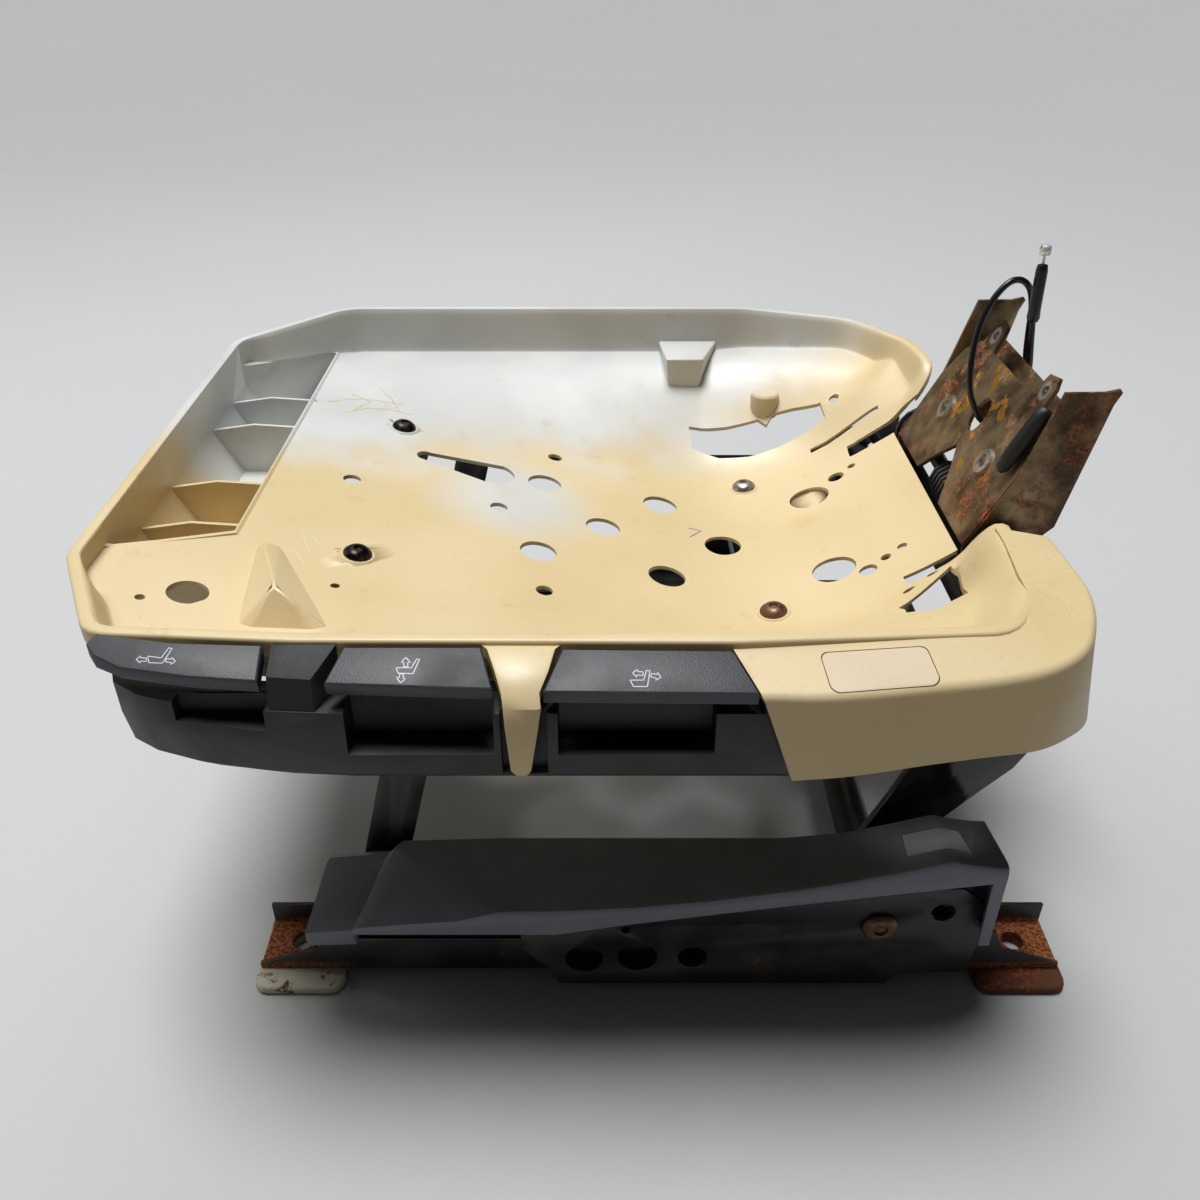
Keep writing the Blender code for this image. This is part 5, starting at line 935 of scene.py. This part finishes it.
pan_piece = seat_pan()
SIGNS = {
    # generic seat pictograms: a seat's side view and two arrows, as lines of pixels of the frame
    "slide_paddle": (
        closed_line((147.8, 656.2), (161.2, 658.0), (169.0, 647.8), (172.3, 648.6),
                    (162.4, 663.2), (148.8, 662.8)),
        arrow((146.2, 659.8), (136.4, 659.4), 1.7, 3.6), arrow((166.0, 660.4), (175.4, 661.4), 1.7, 3.6)),
    "height_paddle": (
        closed_line((396.2, 667.8), (411.4, 667.8), (417.0, 658.8), (419.6, 659.4),
                    (413.0, 673.8), (398.0, 673.2)),
        arrow((405.8, 666.8), (405.8, 657.4), 2.0, 4.6), arrow((401.8, 674.2), (400.4, 683.0), 2.0, 4.6)),
    "recline_paddle": (
        closed_line((630.0, 680.2), (643.6, 680.2), (646.4, 670.6), (650.0, 670.6),
                    (647.4, 686.6), (633.6, 686.6)),
        arrow((643.0, 673.8), (632.6, 673.0), 1.8, 4.0), arrow((651.2, 675.2), (661.0, 677.4), 1.8, 4.0)),
}
for name, lines in SIGNS.items():
    paddle = bpy.data.objects[f"{name}_finished"]
    strokes(f"{name}_sign", paddle, f"{name}_body", lines, 0.55, SIGN_INK, 0.10, 1.5)
strokes("yellow_crayon_scribble", pan_piece, "seat_body",
        ([(328, 402), (350, 399), (374, 400), (404, 405)], [(343, 413), (368, 408), (392, 410), (414, 415)],
         [(352, 394), (371, 402), (354, 410)], [(380, 388), (392, 399), (400, 412)]), 0.9, CRAYON, 0.08)
strokes("white_scuffs", pan_piece, "seat_body",
        ([(287, 542), (300, 556), (304, 566)], [(300, 527), (305, 540), (309, 552)],
         [(308, 531), (322, 548), (331, 553)], [(600, 524), (640, 541)]), 0.6, SCUFF, 0.06)
strokes("blue_inspection_tick", pan_piece, "seat_body",
        ([(688, 528), (701, 531), (690, 537)],), 0.9, BLUE_MARK, 0.08)


# Floor and light

FLOOR_SIZE = 120.0                     # metres
SKY_STRENGTH = 0.055                   # the room as a light
BACKDROP_STRENGTH = 0.72               # the room as the camera sees it past the floor's edge
SUN_STRENGTH = 3.05
SUN_ANGLE = 24                         # degrees across, for soft shadows
SUN_FROM = (-0.12, 0.10, 1.0)


def studio():
    """A plain pale floor, a broad soft sun and two soft lamps."""
    deselect()
    bpy.ops.mesh.primitive_plane_add(size=FLOOR_SIZE, location=(0.0, 20.0, -0.0005))
    floor = bpy.context.object
    floor.name = "studio_floor"
    mat, tree, shader, place = blank("pale studio floor")
    tone = patches(tree, place, 900, 0.3, 0.7, 3.0, 0.5, 1.0)
    colour = blend(tree, tone, linear("#BCBDBE"), linear("#BEBFBF"))
    fine = node(tree, "TexNoise", {"Vector": place, "Scale": 300.0, "Detail": 3.0}).outputs[0]
    finish_shader(tree, shader, colour, 0.75, fine, 0.02)
    shader.inputs["Specular IOR Level"].default_value = 0.25
    floor.data.materials.append(mat)
    world = bpy.data.worlds.new("soft grey room")
    bpy.context.scene.world = world
    world.use_nodes = True
    background = world.node_tree.nodes["Background"]
    background.inputs["Color"].default_value = linear("#E6EAF0")
    seen_past = node(world.node_tree, "LightPath").outputs["Is Camera Ray"]
    strength = node(world.node_tree, "MapRange", {0: seen_past, 1: 0.0, 2: 1.0, 3: SKY_STRENGTH,
                                                  4: BACKDROP_STRENGTH}).outputs[0]
    world.node_tree.links.new(strength, background.inputs["Strength"])
    sun = bpy.data.lights.new("broad_diffuse_sky", "SUN")
    sun.energy = SUN_STRENGTH
    sun.angle = math.radians(SUN_ANGLE)
    holder = bpy.data.objects.new("broad_diffuse_sky", sun)
    bpy.context.scene.collection.objects.link(holder)
    holder.rotation_euler = Vector(SUN_FROM).to_track_quat("Z", "Y").to_euler()
    for name, spot, aim, size, power in (
            ("overhead_softbox", (-0.35, 0.9, 1.9), (0.0, 0.05, 0.25), 1.5, 14.0),
            ("left_strip", (-2.0, 0.2, 1.0), (0.0, 0.0, 0.2), 1.0, 3.0)):
        lamp = bpy.data.lights.new(name, "AREA")
        lamp.size = size
        lamp.energy = power
        holder = bpy.data.objects.new(name, lamp)
        bpy.context.scene.collection.objects.link(holder)
        holder.location = spot
        holder.rotation_euler = (Vector(aim) - Vector(spot)).to_track_quat("-Z", "Y").to_euler()


studio()
bpy.context.scene.view_settings.view_transform = "Standard"
